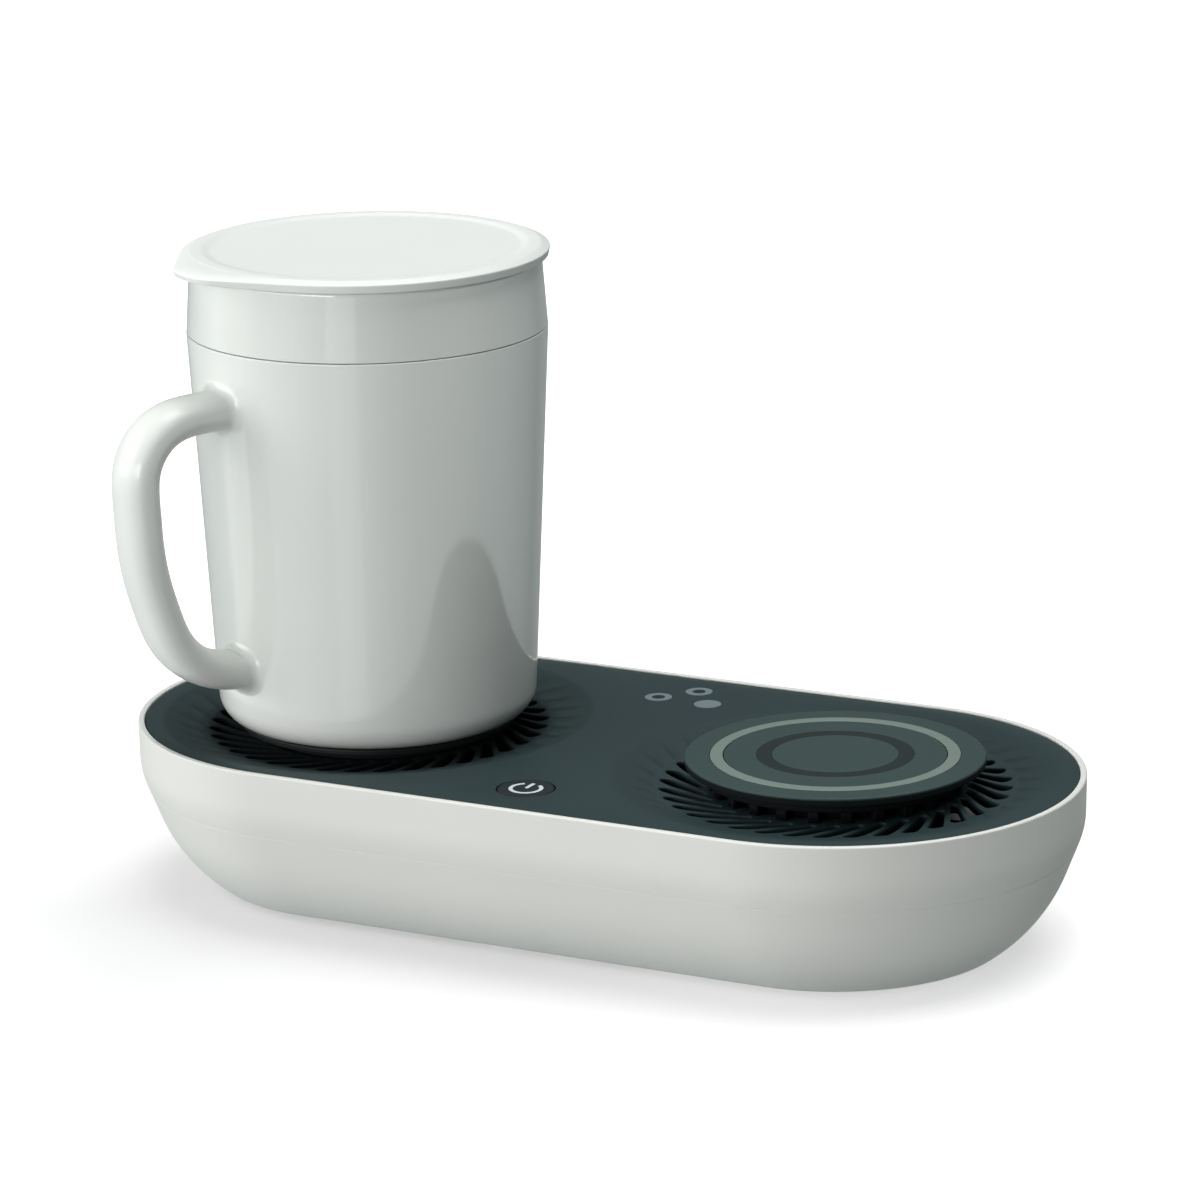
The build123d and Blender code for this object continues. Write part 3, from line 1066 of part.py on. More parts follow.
HANDLE_OUT = (cos(radians(HANDLE_ANGLE)), sin(radians(HANDLE_ANGLE)), 0)
HANDLE_SIDE = (HANDLE_OUT[1], -HANDLE_OUT[0], 0)
HANDLE_PLANE = Plane(origin=(-HALF_SPACING, 0, SEAT_Z), x_dir=HANDLE_OUT, z_dir=HANDLE_SIDE)
HANDLE_START_R = MUG_BASE_R - MUG_WALL
with BuildPart() as handle_bar:
    with BuildLine(HANDLE_PLANE) as handle_path:
        FilletPolyline(
            (HANDLE_START_R, HANDLE_TOP_Z),
            (HANDLE_REACH, HANDLE_TOP_Z - HANDLE_TOP_DROP),
            (HANDLE_WAIST_R, HANDLE_WAIST_Z),
            (HANDLE_HEEL_R, HANDLE_BOTTOM_Z + HANDLE_HEEL_RISE),
            (HANDLE_START_R, HANDLE_BOTTOM_Z),
            radius=[HANDLE_TOP_BEND, HANDLE_WAIST_BEND, HANDLE_HEEL_BEND],
        )
    bar_start = handle_path.wire() @ 0
    bar_heading = handle_path.wire() % 0
    with BuildSketch(Plane(origin=bar_start, x_dir=HANDLE_SIDE, z_dir=bar_heading)):
        Ellipse(HANDLE_WIDTH / 2, HANDLE_DEPTH / 2)
    sweep(path=handle_path.wire())

# The shell's hollow: a round opening for the base disc, then up inside the wall.
FLANGE_Z = SEAT_Z + MUG_WALL
LINER_Z = FLANGE_Z + BASE_FLANGE_HEIGHT
SHELL_INNER_R = MUG_BASE_R - MUG_WALL + SHELL_SLOPE * MUG_WALL
with BuildSketch(MUG_SECTION) as shell_hollow:
    with BuildLine():
        Polyline(
            (0, SEAT_Z),
            (BASE_DISC_R + BASE_DISC_GAP, SEAT_Z),
            (BASE_DISC_R + BASE_DISC_GAP, FLANGE_Z),
            (SHELL_INNER_R, FLANGE_Z),
            (MUG_SEAM_R - MUG_WALL, SEAM_Z),
            (0, SEAM_Z),
            (0, SEAT_Z),
        )
    make_face()
    hollow_corner = shell_hollow.vertices().sort_by_distance((SHELL_INNER_R, FLANGE_Z, 0))[0]
    floor_ring = SHELL_INNER_R - BASE_DISC_R - BASE_FLANGE
    fillet(hollow_corner, min(MUG_CORNER_R - MUG_WALL, floor_ring))

with BuildPart() as mug_shell:
    add(mug_outside.part)
    add(handle_bar.part)
    fillet(mug_shell.edges(Select.NEW), HANDLE_ROOT_FILLET)
    add(shell_hollow.sketch)
    revolve(axis=MUG_AXIS, mode=Mode.SUBTRACT)
mug_shell.part.label = "mug_shell"
export_step(mug_shell.part, "parts/mug_shell.step")

with BuildPart() as mug_base_disc:
    with BuildSketch(level(SEAT_Z, -1)):
        Circle(BASE_DISC_R)
    extrude(amount=MUG_WALL)
    with BuildSketch(level(FLANGE_Z, -1)):
        Circle(BASE_DISC_R + BASE_FLANGE)
    extrude(amount=BASE_FLANGE_HEIGHT)
mug_base_disc.part.label = "mug_base_disc"
export_step(mug_base_disc.part, "parts/mug_base_disc.step")

with BuildPart() as mug_liner:
    for inset, mode in ((0, Mode.ADD), (LINER_WALL, Mode.SUBTRACT)):
        with BuildSketch(MUG_SECTION) as liner_section:
            with BuildLine():
                Polyline(
                    (0, LINER_Z + inset),
                    (LINER_BASE_R - inset, LINER_Z + inset),
                    (LINER_TOP_R - inset, SEAM_Z - COLLAR_SPIGOT),
                    (LINER_TOP_R - inset, COLLAR_TOP),
                    (0, COLLAR_TOP),
                    (0, LINER_Z + inset),
                )
            make_face()
            fillet(liner_section.vertices().group_by(Axis.Y)[0].sort_by(Axis.X)[-1], LINER_CORNER_R - inset)
        revolve(axis=MUG_AXIS, mode=mode)
mug_liner.part.label = "mug_liner"
export_step(mug_liner.part, "parts/mug_liner.step")

SPIGOT_R = MUG_SEAM_R - MUG_WALL - SHELL_SLOPE * COLLAR_SPIGOT - COLLAR_SPIGOT_GAP
with BuildPart() as mug_collar:
    with BuildSketch(MUG_SECTION) as collar_section:
        with BuildLine():
            Polyline(
                (LINER_TOP_R, SEAM_Z - COLLAR_SPIGOT),
                (SPIGOT_R, SEAM_Z - COLLAR_SPIGOT),
                (SPIGOT_R, SEAM_Z + GASKET_HEIGHT),
                (MUG_SEAM_R - COLLAR_SETBACK, SEAM_Z + GASKET_HEIGHT),
                (COLLAR_TOP_R, COLLAR_TOP),
                (LINER_TOP_R, COLLAR_TOP),
                (LINER_TOP_R, SEAM_Z - COLLAR_SPIGOT),
            )
        make_face()
        fillet(collar_section.vertices().group_by(Axis.Y)[-1].sort_by(Axis.X)[-1], COLLAR_EDGE)
    revolve(axis=MUG_AXIS)
mug_collar.part.label = "mug_collar"
export_step(mug_collar.part, "parts/mug_collar.step")

with BuildPart() as mug_gasket:
    with BuildSketch(level(SEAM_Z, -1)):
        Circle(MUG_SEAM_R - GASKET_SETBACK)
        Circle(SPIGOT_R + COLLAR_SPIGOT_GAP, mode=Mode.SUBTRACT)
    extrude(amount=GASKET_HEIGHT)
mug_gasket.part.label = "mug_gasket"
export_step(mug_gasket.part, "parts/mug_gasket.step")

# ================================================================ lid
LID_DISC_TOP = LID_TOP - LID_SINK
LID_SKIRT_FOOT = COLLAR_TOP - LID_SKIRT_DEPTH
LID_SEAL_Z = LID_SKIRT_FOOT + LID_SEAL_LIFT
GROOVE_R = LID_SKIRT_R - LID_SEAL_GROOVE
with BuildPart() as lid_cap:
    with BuildSketch(MUG_SECTION):
        with BuildLine():
            Polyline(
                (0, LID_DISC_TOP),
                (LID_DISC_R, LID_DISC_TOP),
                (LID_STEP_R, LID_TOP),
                (LID_R, LID_TOP),
                (LID_R, COLLAR_TOP + LID_UNDERCUT),
                (COLLAR_TOP_R, COLLAR_TOP),
                (LID_SKIRT_R, COLLAR_TOP),
                (LID_SKIRT_R, LID_SEAL_Z + LID_SEAL_HEIGHT),
                (GROOVE_R, LID_SEAL_Z + LID_SEAL_HEIGHT),
                (GROOVE_R, LID_SEAL_Z),
                (LID_SKIRT_R, LID_SEAL_Z),
                (LID_SKIRT_R, LID_SKIRT_FOOT),
                (LID_SKIRT_R - LID_SKIRT_WALL, LID_SKIRT_FOOT),
                (LID_SKIRT_R - LID_SKIRT_WALL, LID_DISC_TOP - LID_DISC_THICKNESS),
                (0, LID_DISC_TOP - LID_DISC_THICKNESS),
                (0, LID_DISC_TOP),
            )
        make_face()
    revolve(axis=MUG_AXIS)
    tab_plane = Plane(
        origin=(-HALF_SPACING, 0, LID_TOP),
        x_dir=(cos(radians(TAB_ANGLE)), sin(radians(TAB_ANGLE)), 0),
        z_dir=(0, 0, 1),
    )
    with BuildSketch(tab_plane) as tab:
        with BuildLine():
            Polyline(
                (LID_STEP_R, TAB_ROOT_WIDTH / 2),
                (TAB_REACH, TAB_WIDTH / 2),
                (TAB_REACH, -TAB_WIDTH / 2),
                (LID_STEP_R, -TAB_ROOT_WIDTH / 2),
                (LID_STEP_R, TAB_ROOT_WIDTH / 2),
            )
        make_face()
        Circle(LID_STEP_R, mode=Mode.SUBTRACT)
    extrude(amount=-TAB_THICKNESS)
    fillet(lid_cap.faces().sort_by(Axis.Z)[-1].outer_wire().edges(), LID_EDGE)
lid_cap.part.label = "lid_cap"
export_step(lid_cap.part, "parts/lid_cap.step")

with BuildPart() as lid_seal:
    with BuildSketch(level(LID_SEAL_Z, -1)):
        Circle(MOUTH_R - LID_SEAL_GAP)
        Circle(GROOVE_R, mode=Mode.SUBTRACT)
    extrude(amount=LID_SEAL_HEIGHT)
lid_seal.part.label = "lid_seal"
export_step(lid_seal.part, "parts/lid_seal.step")
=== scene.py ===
import math
import bmesh
import bpy
import numpy as np
from mathutils import Matrix
from mathutils.geometry import delaunay_2d_cdt


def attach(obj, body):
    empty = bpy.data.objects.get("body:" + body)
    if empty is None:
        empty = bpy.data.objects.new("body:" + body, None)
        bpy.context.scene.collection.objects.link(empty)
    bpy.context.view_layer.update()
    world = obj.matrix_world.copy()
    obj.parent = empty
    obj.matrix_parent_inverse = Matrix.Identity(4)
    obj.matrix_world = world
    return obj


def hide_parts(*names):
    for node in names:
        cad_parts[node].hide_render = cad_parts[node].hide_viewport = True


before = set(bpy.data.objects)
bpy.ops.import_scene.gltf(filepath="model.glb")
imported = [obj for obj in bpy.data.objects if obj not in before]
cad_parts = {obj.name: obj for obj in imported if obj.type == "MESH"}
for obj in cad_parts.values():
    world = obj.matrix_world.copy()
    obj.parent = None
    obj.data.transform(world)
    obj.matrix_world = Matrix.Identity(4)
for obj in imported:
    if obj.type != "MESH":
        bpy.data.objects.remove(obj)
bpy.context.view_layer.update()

# ---------------------------------------------------------------- camera
# A long lens from the front right, a little above the deck, rolled by about one degree.
AZIMUTH, ELEVATION, ROLL = 27.698, 15.292, -1.054
CAMERA_PLACE = (0.5555, -1.0580, 0.4016)
lens = bpy.data.cameras.new("camera")
lens.lens = 159.77
lens.sensor_width = 36.0
lens.clip_start = 0.05
camera = bpy.data.objects.new("camera", lens)
camera.matrix_world = (
    Matrix.Translation(CAMERA_PLACE)
    @ Matrix.Rotation(math.radians(AZIMUTH), 4, "Z")
    @ Matrix.Rotation(math.radians(90 - ELEVATION), 4, "X")
    @ Matrix.Rotation(math.radians(ROLL), 4, "Z")
)
bpy.context.scene.collection.objects.link(camera)
bpy.context.scene.camera = camera

# ---------------------------------------------------------------- lower casing
# The lower casing is a bowl of off-white ABS, moulded in one piece with its posts. Its flat floor has
# intake slots, four pockets for the feet and four wells for the screws that close the casing.
# All sizes in this file are in millimetres until a piece is built.
STATION = 60.2  # from the middle out to each station's axis
CASING_WALL = 2.2
ABS_WHITE = (0.745, 0.75, 0.715, 1)
ABS_SHADE = (0.715, 0.725, 0.69, 1)
MATT = 0.94
BOWL_TOP, BOWL_TOP_R = 25.2, 55.7
BOWL_SIDE_HEIGHT, BOWL_SIDE_LEAN = 6.2, 2.4  # straight upper part of the side
BOWL_FLOOR, BOWL_FLAT_R = 1.3, 39.5
BOWL_INNER_FLOOR = 3.7
FOOT_POCKET_TOP, SCREW_WELL_TOP = 2.3, 10.0
PILOT_R, PILOT_DEPTH = 1.2, 8
INTAKE_X = np.arange(-4, 5) * 6.5 - STATION
FOOT_PLACES = [(x, y) for x in (-81, 81) for y in (-21, 21)]
CASING_POSTS = [(x, y) for x in (-22, 22) for y in (-33, 33)]
BOARD_POSTS = [(x, y) for x in (-12, 12) for y in (-26, 26)]
SINK_POSTS = [(-STATION + x, y) for x in (-28, 28) for y in (-28, 28)]
FAN_POSTS = [(STATION + 45.3 * math.cos(a), 45.3 * math.sin(a)) for a in np.radians((0, 120, 240))]


class Value:
    """A number or colour on its way through a material. Arithmetic on it adds Math nodes."""

    def __init__(self, finish, socket):
        self.finish, self.socket = finish, socket

    def math(self, operation, *terms):
        return self.finish.node("Math", {"operation": operation}, dict(enumerate(terms)))

    def __add__(self, other):
        return self.math("ADD", self, other)

    def __sub__(self, other):
        return self.math("SUBTRACT", self, other)

    def __mul__(self, other):
        return self.math("MULTIPLY", self, other)

    def __rsub__(self, other):
        return self.math("SUBTRACT", other, self)

    def step(self, low, high):
        """0 below low, 1 above high and a straight rise between them."""
        return self.finish.node("MapRange", {}, {0: self, 1: low, 2: high, 3: 0.0, 4: 1.0})

    __radd__ = __add__
    __rmul__ = __mul__


class Shading:
    """A tree of shader nodes."""

    def __init__(self, tree):
        self.tree = tree

    def node(self, kind, settings, sockets, out=0):
        """Adds a node: its settings first, then a value or a link on each socket, by name or number."""
        made = self.tree.nodes.new("ShaderNode" + kind)
        for key, value in settings.items():
            setattr(made, key, value)
        for key, value in sockets.items():
            if isinstance(value, Value):
                self.tree.links.new(value.socket, made.inputs[key])
            else:
                made.inputs[key].default_value = value
        return Value(self, made.outputs[out])

    def surface(self, look):
        """Ends the tree in a look."""
        output = next(node for node in self.tree.nodes if node.type.startswith("OUTPUT"))
        self.tree.links.new(look.socket, output.inputs["Surface"])


class Finish(Shading):
    """A material with one Principled shader. Plain values go straight on the shader's own sockets."""

    def __init__(self, name, **plain):
        self.material = bpy.data.materials.new(name)
        self.material.use_nodes = True
        super().__init__(self.material.node_tree)
        self.shader = self.tree.nodes["Principled BSDF"]
        for socket, value in plain.items():
            self.shader.inputs[socket.replace("_", " ")].default_value = value

    def place(self, stretch=(1, 1, 1), move=(0, 0, 0)):
        """Object coordinates in metres, stretched and moved for a pattern."""
        here = self.node("TexCoord", {}, {}, "Object")
        return self.node("Mapping", {}, {"Vector": here, "Scale": stretch, "Location": move})

    def noise(self, scale, detail=2.0, stretch=(1, 1, 1)):
        """Soft noise between 0 and 1, its scale in patches to the metre."""
        sockets = {"Vector": self.place(stretch), "Scale": scale, "Detail": detail}
        return self.node("TexNoise", {}, sockets, 0)

    def mix(self, amount, first, second):
        return self.node("Mix", {"data_type": "RGBA"}, {0: amount, 6: first, 7: second}, 2)

    def relief(self, height, depth, strength=1.0):
        """Small relief from a height between 0 and 1, its depth in metres."""
        return self.node("Bump", {}, {"Height": height, "Distance": depth, "Strength": strength})

    def set(self, **sockets):
        for name, value in sockets.items():
            self.tree.links.new(value.socket, self.shader.inputs[name.replace("_", " ")])
        return self


def moulded(name, colour, shade, roughness, grain, relief, painted_shade_colour=None, **plain):
    """Moulded plastic: faint clouds in its colour, a fine sparked grain and uneven sheen. Where the mesh's
    depth value marks painted shade, in a slot, under an edge or round the mug's foot, a near-black painted
    shade colour takes over and the sheen goes."""
    finish = Finish(name, **plain)
    clouds = finish.noise(22, 3)
    pores = finish.noise(grain, 2)
    face = finish.mix(clouds.step(0.3, 0.7), colour, shade)
    sheen = clouds * 0.06 + pores * 0.05 + (roughness - 0.055)
    # Painted shade: the depth value mixes in a near-black colour where shade falls, and dulls the sheen.
    if painted_shade_colour:
        depth = finish.node("Attribute", {"attribute_name": "depth"}, {}, "Fac")
        face = finish.mix(depth, face, painted_shade_colour)
        sheen = sheen + depth * (MATT - roughness)
    return finish.set(Base_Color=face, Roughness=sheen, Normal=finish.relief(pores, relief, 0.6))


def net(rows, columns, round_rows=False, round_columns=False):
    """Quads of a grid of points, row by row. A round grid also joins its last row or column to its first."""
    i = np.arange(rows if round_rows else rows - 1)[:, None] * columns
    j = np.arange(columns if round_columns else columns - 1)[None, :]
    i_next, j_next = (i + columns) % (rows * columns), (j + 1) % columns
    return np.stack([i + j, i + j_next, i_next + j_next, i_next + j], -1).reshape(-1, 4)


def grid(points, round_rows=False, round_columns=False):
    """A patch of surface: a grid of points and the quads between them."""
    return points.reshape(-1, 3), net(*points.shape[:2], round_rows, round_columns)


def rounded(corners, radii, steps=6):
    """Closed outline with rounded corners. Each corner gives way to an arc that touches both its sides, and
    one point before and after it keeps the sides level when they are shaded smooth. A radius of 0 stays
    sharp. An arc's points are sums of its two ends, seen from its centre, weighted by the sines of the
    angles left."""
    corners = np.asarray(corners, float)
    radii = np.broadcast_to(np.asarray(radii, float), len(corners))[:, None]
    back, ahead = np.roll(corners, 1, 0) - corners, np.roll(corners, -1, 0) - corners
    back_length = np.linalg.norm(back, axis=1, keepdims=True)
    ahead_length = np.linalg.norm(ahead, axis=1, keepdims=True)
    back, ahead = back / back_length, ahead / ahead_length
    half = np.arccos(np.clip((back * ahead).sum(1, keepdims=True), -1, 0.9999)) / 2
    reach = radii / np.tan(half)
    middle = back + ahead
    centre = corners + middle / np.linalg.norm(middle, axis=1, keepdims=True) * radii / np.sin(half)
    spread = (np.pi - 2 * half)[:, None]
    turn = np.linspace(0, 1, steps)[None, :, None]
    start = (corners + back * reach - centre)[:, None]
    end = (corners + ahead * reach - centre)[:, None]
    both = np.sin((1 - turn) * spread) * start + np.sin(turn * spread) * end
    arc = centre[:, None] + both / np.sin(spread)
    guard = np.where(radii > 0, 0.12 + 0.35 * radii, 0)
    back_free = np.maximum(back_length - reach - np.roll(reach, 1, 0), 0)
    ahead_free = np.maximum(ahead_length - reach - np.roll(reach, -1, 0), 0)
    before = corners + back * (reach + np.minimum(guard, 0.4 * back_free))
    after = corners + ahead * (reach + np.minimum(guard, 0.4 * ahead_free))
    line = np.concatenate([before[:, None], arc, after[:, None]], 1).reshape(-1, 2)
    return line[np.linalg.norm(line - np.roll(line, 1, 0), axis=1) > 1e-6]


def turned(profile, centre=(0, 0), steps=192):
    """A profile of (radius, height) points turned once round an upright axis."""
    angle = np.linspace(0, 2 * np.pi, steps, endpoint=False)[:, None]
    radius, height = np.asarray(profile, float).T
    across, along = centre[0] + radius * np.cos(angle), centre[1] + radius * np.sin(angle)
    return np.stack([across, along, height + 0 * angle], -1)


def racetrack(profile, turn=97, run=13):
    """A profile of (radius from a station's axis, height) points carried round both stations: half a circle
    about each station's axis, and straight runs from one to the other."""
    quarter = np.pi / 2
    angle = np.concatenate([
        np.linspace(-quarter, quarter, turn), np.full(run, quarter),
        np.linspace(quarter, 3 * quarter, turn), np.full(run, 3 * quarter),
    ])
    along = np.linspace(STATION, -STATION, run + 2)[1:-1]
    middle = np.concatenate([np.full(turn, STATION), along, np.full(turn, -STATION), -along])
    radius, height = np.asarray(profile, float).T
    angle, middle = angle[:, None], middle[:, None]
    return np.stack([middle + radius * np.cos(angle), radius * np.sin(angle), height + 0 * angle], -1)


def ring(radius, centre=(0, 0), steps=48):
    """Points round a circle."""
    angle = np.linspace(0, 2 * np.pi, steps, endpoint=False)
    return np.stack([centre[0] + radius * np.cos(angle), centre[1] + radius * np.sin(angle)], -1)


def long_slot(radius, centre, half_length=11.5, steps=12):
    """Points round an intake slot: half a circle at each end of a straight run along Y."""
    angle = np.linspace(0, np.pi, steps)
    end = np.stack([radius * np.cos(angle), half_length + radius * np.sin(angle)], -1)
    return np.concatenate([end, -end]) + centre


def upright(loop, heights):
    """A wall: one loop of points repeated at each height."""
    levels = np.asarray(heights, float)[:, None, None]
    flat = np.broadcast_to(loop[None], (len(heights), *loop.shape))
    return grid(np.concatenate([flat, levels + 0 * flat[..., :1]], -1), round_columns=True)


def bored(loop, low, high):
    """Wall of a hole between two level faces. A row near each face keeps the wall's shading flat."""
    return upright(loop, (low, low + 0.2, high - 0.2, high))


def field(outline, holes, height):
    """Level sheet inside an outline and round its holes: triangles between the points of all the loops,
    less those with their three corners on one hole."""
    loops = [outline, *holes]
    owner = np.repeat(np.arange(len(loops)), [len(loop) for loop in loops])
    points = np.concatenate(loops)
    found = delaunay_2d_cdt([tuple(point) for point in points], [], [], 0, 1e-7)
    corners = np.array([source[0] for source in found[3]])
    triangles = corners[np.array(found[2])]
    holed = (owner[triangles] == owner[triangles[:, :1]]).all(1) & (owner[triangles[:, 0]] > 0)
    return np.column_stack([points, np.full(len(points), float(height))]), triangles[~holed]


def piece(name, patches, finish, body, node=None):
    """Joins patches, given in millimetres, into one smooth closed mesh that rides on a body."""
    start = np.cumsum([0] + [len(points) for points, _ in patches])
    faces = [row for (_, quads), first in zip(patches, start) for row in (quads + first).tolist()]
    mesh = bpy.data.meshes.new(name)
    mesh.from_pydata((np.concatenate([points for points, _ in patches]) / 1000).tolist(), [], faces)
    shell = bmesh.new()
    shell.from_mesh(mesh)
    bmesh.ops.remove_doubles(shell, verts=shell.verts, dist=1e-6)
    bmesh.ops.recalc_face_normals(shell, faces=shell.faces)
    shell.to_mesh(mesh)
    shell.free()
    mesh.polygons.foreach_set("use_smooth", np.ones(len(mesh.polygons), bool))
    mesh.materials.append(finish.material)
    made = bpy.data.objects.new(name, mesh)
    bpy.context.scene.collection.objects.link(made)
    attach(made, body)
    if node:
        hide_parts(node)
    return made


def bowl_side(inset, floor):
    """Wall of the bowl from its top down: a leaning side, then an arc that ends at the floor. The arc touches
    the side's end, so its centre lies on the side's normal there."""
    lean = BOWL_SIDE_LEAN / BOWL_SIDE_HEIGHT
    start = np.array([BOWL_TOP_R - BOWL_SIDE_LEAN - inset, BOWL_TOP - BOWL_SIDE_HEIGHT])
    normal = np.array([-1, lean]) / math.hypot(1, lean)
    chord = np.array([BOWL_FLAT_R - inset, floor]) - start
    radius = (chord @ chord) / (2 * chord @ normal)
    centre = start + radius * normal
    first, last = (math.atan2(*(point - centre)[::-1]) for point in (start, start + chord))
    sweep = np.linspace(first, last, 28)
    curve = centre + radius * np.stack([np.cos(sweep), np.sin(sweep)], -1)
    side = np.linspace((BOWL_TOP_R - inset, BOWL_TOP), start, 6)[:-1]
    return np.concatenate([side, curve])


def post(centre, top, radius, bore=PILOT_R):
    """A post with a pilot hole from above. Its foot ends within the thickness of the bowl's wall or floor."""
    foot, end = (BOWL_FLOOR + BOWL_INNER_FLOOR) / 2, top - PILOT_DEPTH
    outline = [(0, foot), (radius, foot), (radius, top), (bore, top), (bore, end), (0, end)]
    points, quads = grid(turned(rounded(outline, (0, 0.1, 0.3, 0.2, 0.1, 0), 3), centre, 32), True)
    middle = bowl_side(CASING_WALL / 2, foot)[::-1]
    reach = np.hypot(np.maximum(np.abs(points[:, 0]) - STATION, 0), points[:, 1])
    points[:, 2] = np.maximum(points[:, 2], np.interp(reach, *middle.T))
    return points, quads


casing_finish = moulded("casing_abs", ABS_WHITE, ABS_SHADE, 0.42, 4200, 0.00003, Specular_IOR_Level=0.45)
bowl_out, bowl_in = bowl_side(0, BOWL_FLOOR), bowl_side(CASING_WALL, BOWL_INNER_FLOOR)
bowl_lip = [(BOWL_TOP_R, BOWL_TOP), (BOWL_TOP_R - CASING_WALL, BOWL_TOP), (53.4, 24.9), (55.62, 24.9)]
bowl_lip = rounded(bowl_lip, (0.06, 0.15, 0, 0), 4)[:-2]
bowl_walls = np.concatenate([bowl_in[:0:-1], bowl_lip[::-1], bowl_out[1:]])
slots = [long_slot(1.5, (x, 0)) for x in INTAKE_X]
wells = [ring(3.0, place, 36) for place in CASING_POSTS]
pockets = [ring(6.0, place, 48) for place in FOOT_PLACES]
bowl_patches = [
    grid(racetrack(bowl_walls), True),
    field(racetrack([(BOWL_FLAT_R, 0)])[:, 0, :2], slots + wells + pockets, BOWL_FLOOR),
    field(racetrack([(BOWL_FLAT_R - CASING_WALL, 0)])[:, 0, :2], slots, BOWL_INNER_FLOOR),
]
for loops, top in ((slots, BOWL_INNER_FLOOR), (wells, SCREW_WELL_TOP), (pockets, FOOT_POCKET_TOP)):
    bowl_patches += [bored(loop, BOWL_FLOOR, top) for loop in loops]
bowl_patches += [field(loop, [], SCREW_WELL_TOP) for loop in wells]
bowl_patches += [field(loop, [], FOOT_POCKET_TOP) for loop in pockets]
bowl_patches += [post(place, BOWL_TOP, 3.2, 1.8) for place in CASING_POSTS]
bowl_patches += [post(place, 26.4, 3.0) for place in BOARD_POSTS]
bowl_patches += [post(place, 26.7, 3.0) for place in SINK_POSTS]
bowl_patches += [post(place, 18.0, 3.2, 1.55) for place in FAN_POSTS]
piece("bowl_casing", bowl_patches, casing_finish, "base", "lower_casing")

# ---------------------------------------------------------------- upper casing
# The band round the deck, moulded in the same off-white ABS. It has a soft step down to the parting line,
# a thin bright lip round the deck, a ledge that carries the deck, and a round hole at the rear for the inlet.
BAND_TOP, BAND_TOP_R = 41.0, 57.5
BAND_STEP_R = 17.0  # rounding of the soft step
LIP_INNER_R = 56.0
LEDGE_TOP, LEDGE_FOOT, LEDGE_R = 38.5, 36.5, 53.4
INLET_PLACE = (-10.0, 32.2)  # along the base, and above the table
INLET_HOLE_R = 4.05
INLET_RIM = 0.3
INLET_FIRST, INLET_LAST = 103, 105
band_outline = rounded(
    [
        (BAND_TOP_R, BAND_TOP), (57.3, 29.2), (BOWL_TOP_R, BOWL_TOP), (BOWL_TOP_R - CASING_WALL, BOWL_TOP),
        (55.1, 28.9), (55.3, LEDGE_FOOT), (LEDGE_R, LEDGE_FOOT), (LEDGE_R, LEDGE_TOP),
        (LIP_INNER_R, LEDGE_TOP), (LIP_INNER_R, BAND_TOP),
    ],
    (0.40, BAND_STEP_R, 0.05, 0.2, 1.5, 0.2, 0.2, 0.2, 0.1, 0.30), 10,
)


def against(loop, rows, inset=0.0):
    """Points of an (along, up) loop laid on some rows of the straight rear wall, set in from it."""
    order = rows[np.argsort(band_outline[rows, 1])]
    out = np.interp(loop[:, 1], band_outline[order, 1], band_outline[order, 0])
    return np.stack([loop[:, 0], out - inset, loop[:, 1]], -1)


# The wall round the inlet's hole: the first and last inlet columns of the sheet stand on the rear run
# either side of the hole. The block between them, from just over the parting line to just under the lip or
# the ledge, is cut out and filled in again round the hole, outside and inside.
band_sheet = racetrack(band_outline)
band_points, band_quads = grid(band_sheet, True, True)
reach, level = band_outline.T
outer_rows = np.flatnonzero((reach > 56.0) & (level > 26.0) & (level < 40.6))
inner_rows = np.flatnonzero((reach > 53.6) & (reach < 55.6) & (level > 25.3) & (level < 36.31))
column, row = np.divmod(band_quads[:, 0], len(band_outline))
kept = np.ones(len(band_quads), bool)
band_patches = []
for rows, radius in ((outer_rows, INLET_HOLE_R + INLET_RIM), (inner_rows, INLET_HOLE_R)):
    kept &= ~((column >= INLET_FIRST) & (column < INLET_LAST) & (row >= rows[0]) & (row < rows[-1]))
    block = band_sheet[INLET_FIRST:INLET_LAST + 1, rows[0]:rows[-1] + 1, ::2]
    loop = np.concatenate([block[:-1, 0], block[-1, :-1], block[:0:-1, -1], block[0, :0:-1]])
    points, faces = field(loop, [ring(radius, INLET_PLACE, 64)], 0)
    band_patches.append((against(points, rows), faces))
rims = [
    against(ring(INLET_HOLE_R + grow, INLET_PLACE, 64), rows, inset)
    for grow, rows, inset in (
        (INLET_RIM, outer_rows, 0), (0.12, outer_rows, 0), (0.03, outer_rows, 0.03), (0, outer_rows, 0.12),
        (0, inner_rows, -0.2), (0, inner_rows, 0),
    )
]
band_patches += [(band_points, band_quads[kept]), grid(np.stack(rims), False, True)]
piece("band_casing", band_patches, casing_finish, "base", "upper_casing")

# ---------------------------------------------------------------- feet, wells and screws underneath
# Four soft rubber feet are pressed into pockets in the floor. Plated steel screws stand in the wells.


def dress(finish, *names):
    """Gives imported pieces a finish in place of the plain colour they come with."""
    for name in names:
        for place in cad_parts[name].material_slots:
            place.material = finish.material


def metal(name, colour, shade, roughness, grain, stretch, relief, **plain):
    """Bare metal: a drawn or brushed grain, stretched one way, that varies its sheen and relief."""
    finish = Finish(name, Metallic=1.0, **plain)
    lines = finish.noise(grain, 3, stretch)
    stains = finish.noise(60, 2)
    return finish.set(
        Base_Color=finish.mix(stains.step(0.3, 0.75), colour, shade),
        Roughness=lines * 0.16 + stains * 0.08 + (roughness - 0.12),
        Normal=finish.relief(lines, relief, 0.5),
    )


rubber_finish = moulded("rubber", (0.018, 0.018, 0.019, 1), (0.026, 0.026, 0.027, 1), 0.78, 2600, 0.00005)
screw_finish = metal(
    "plated_steel", (0.62, 0.61, 0.58, 1), (0.52, 0.51, 0.49, 1), 0.34, 900, (1, 1, 0.15), 0.00001,
)
dress(rubber_finish, "feet")
dress(screw_finish, "casing_screws")

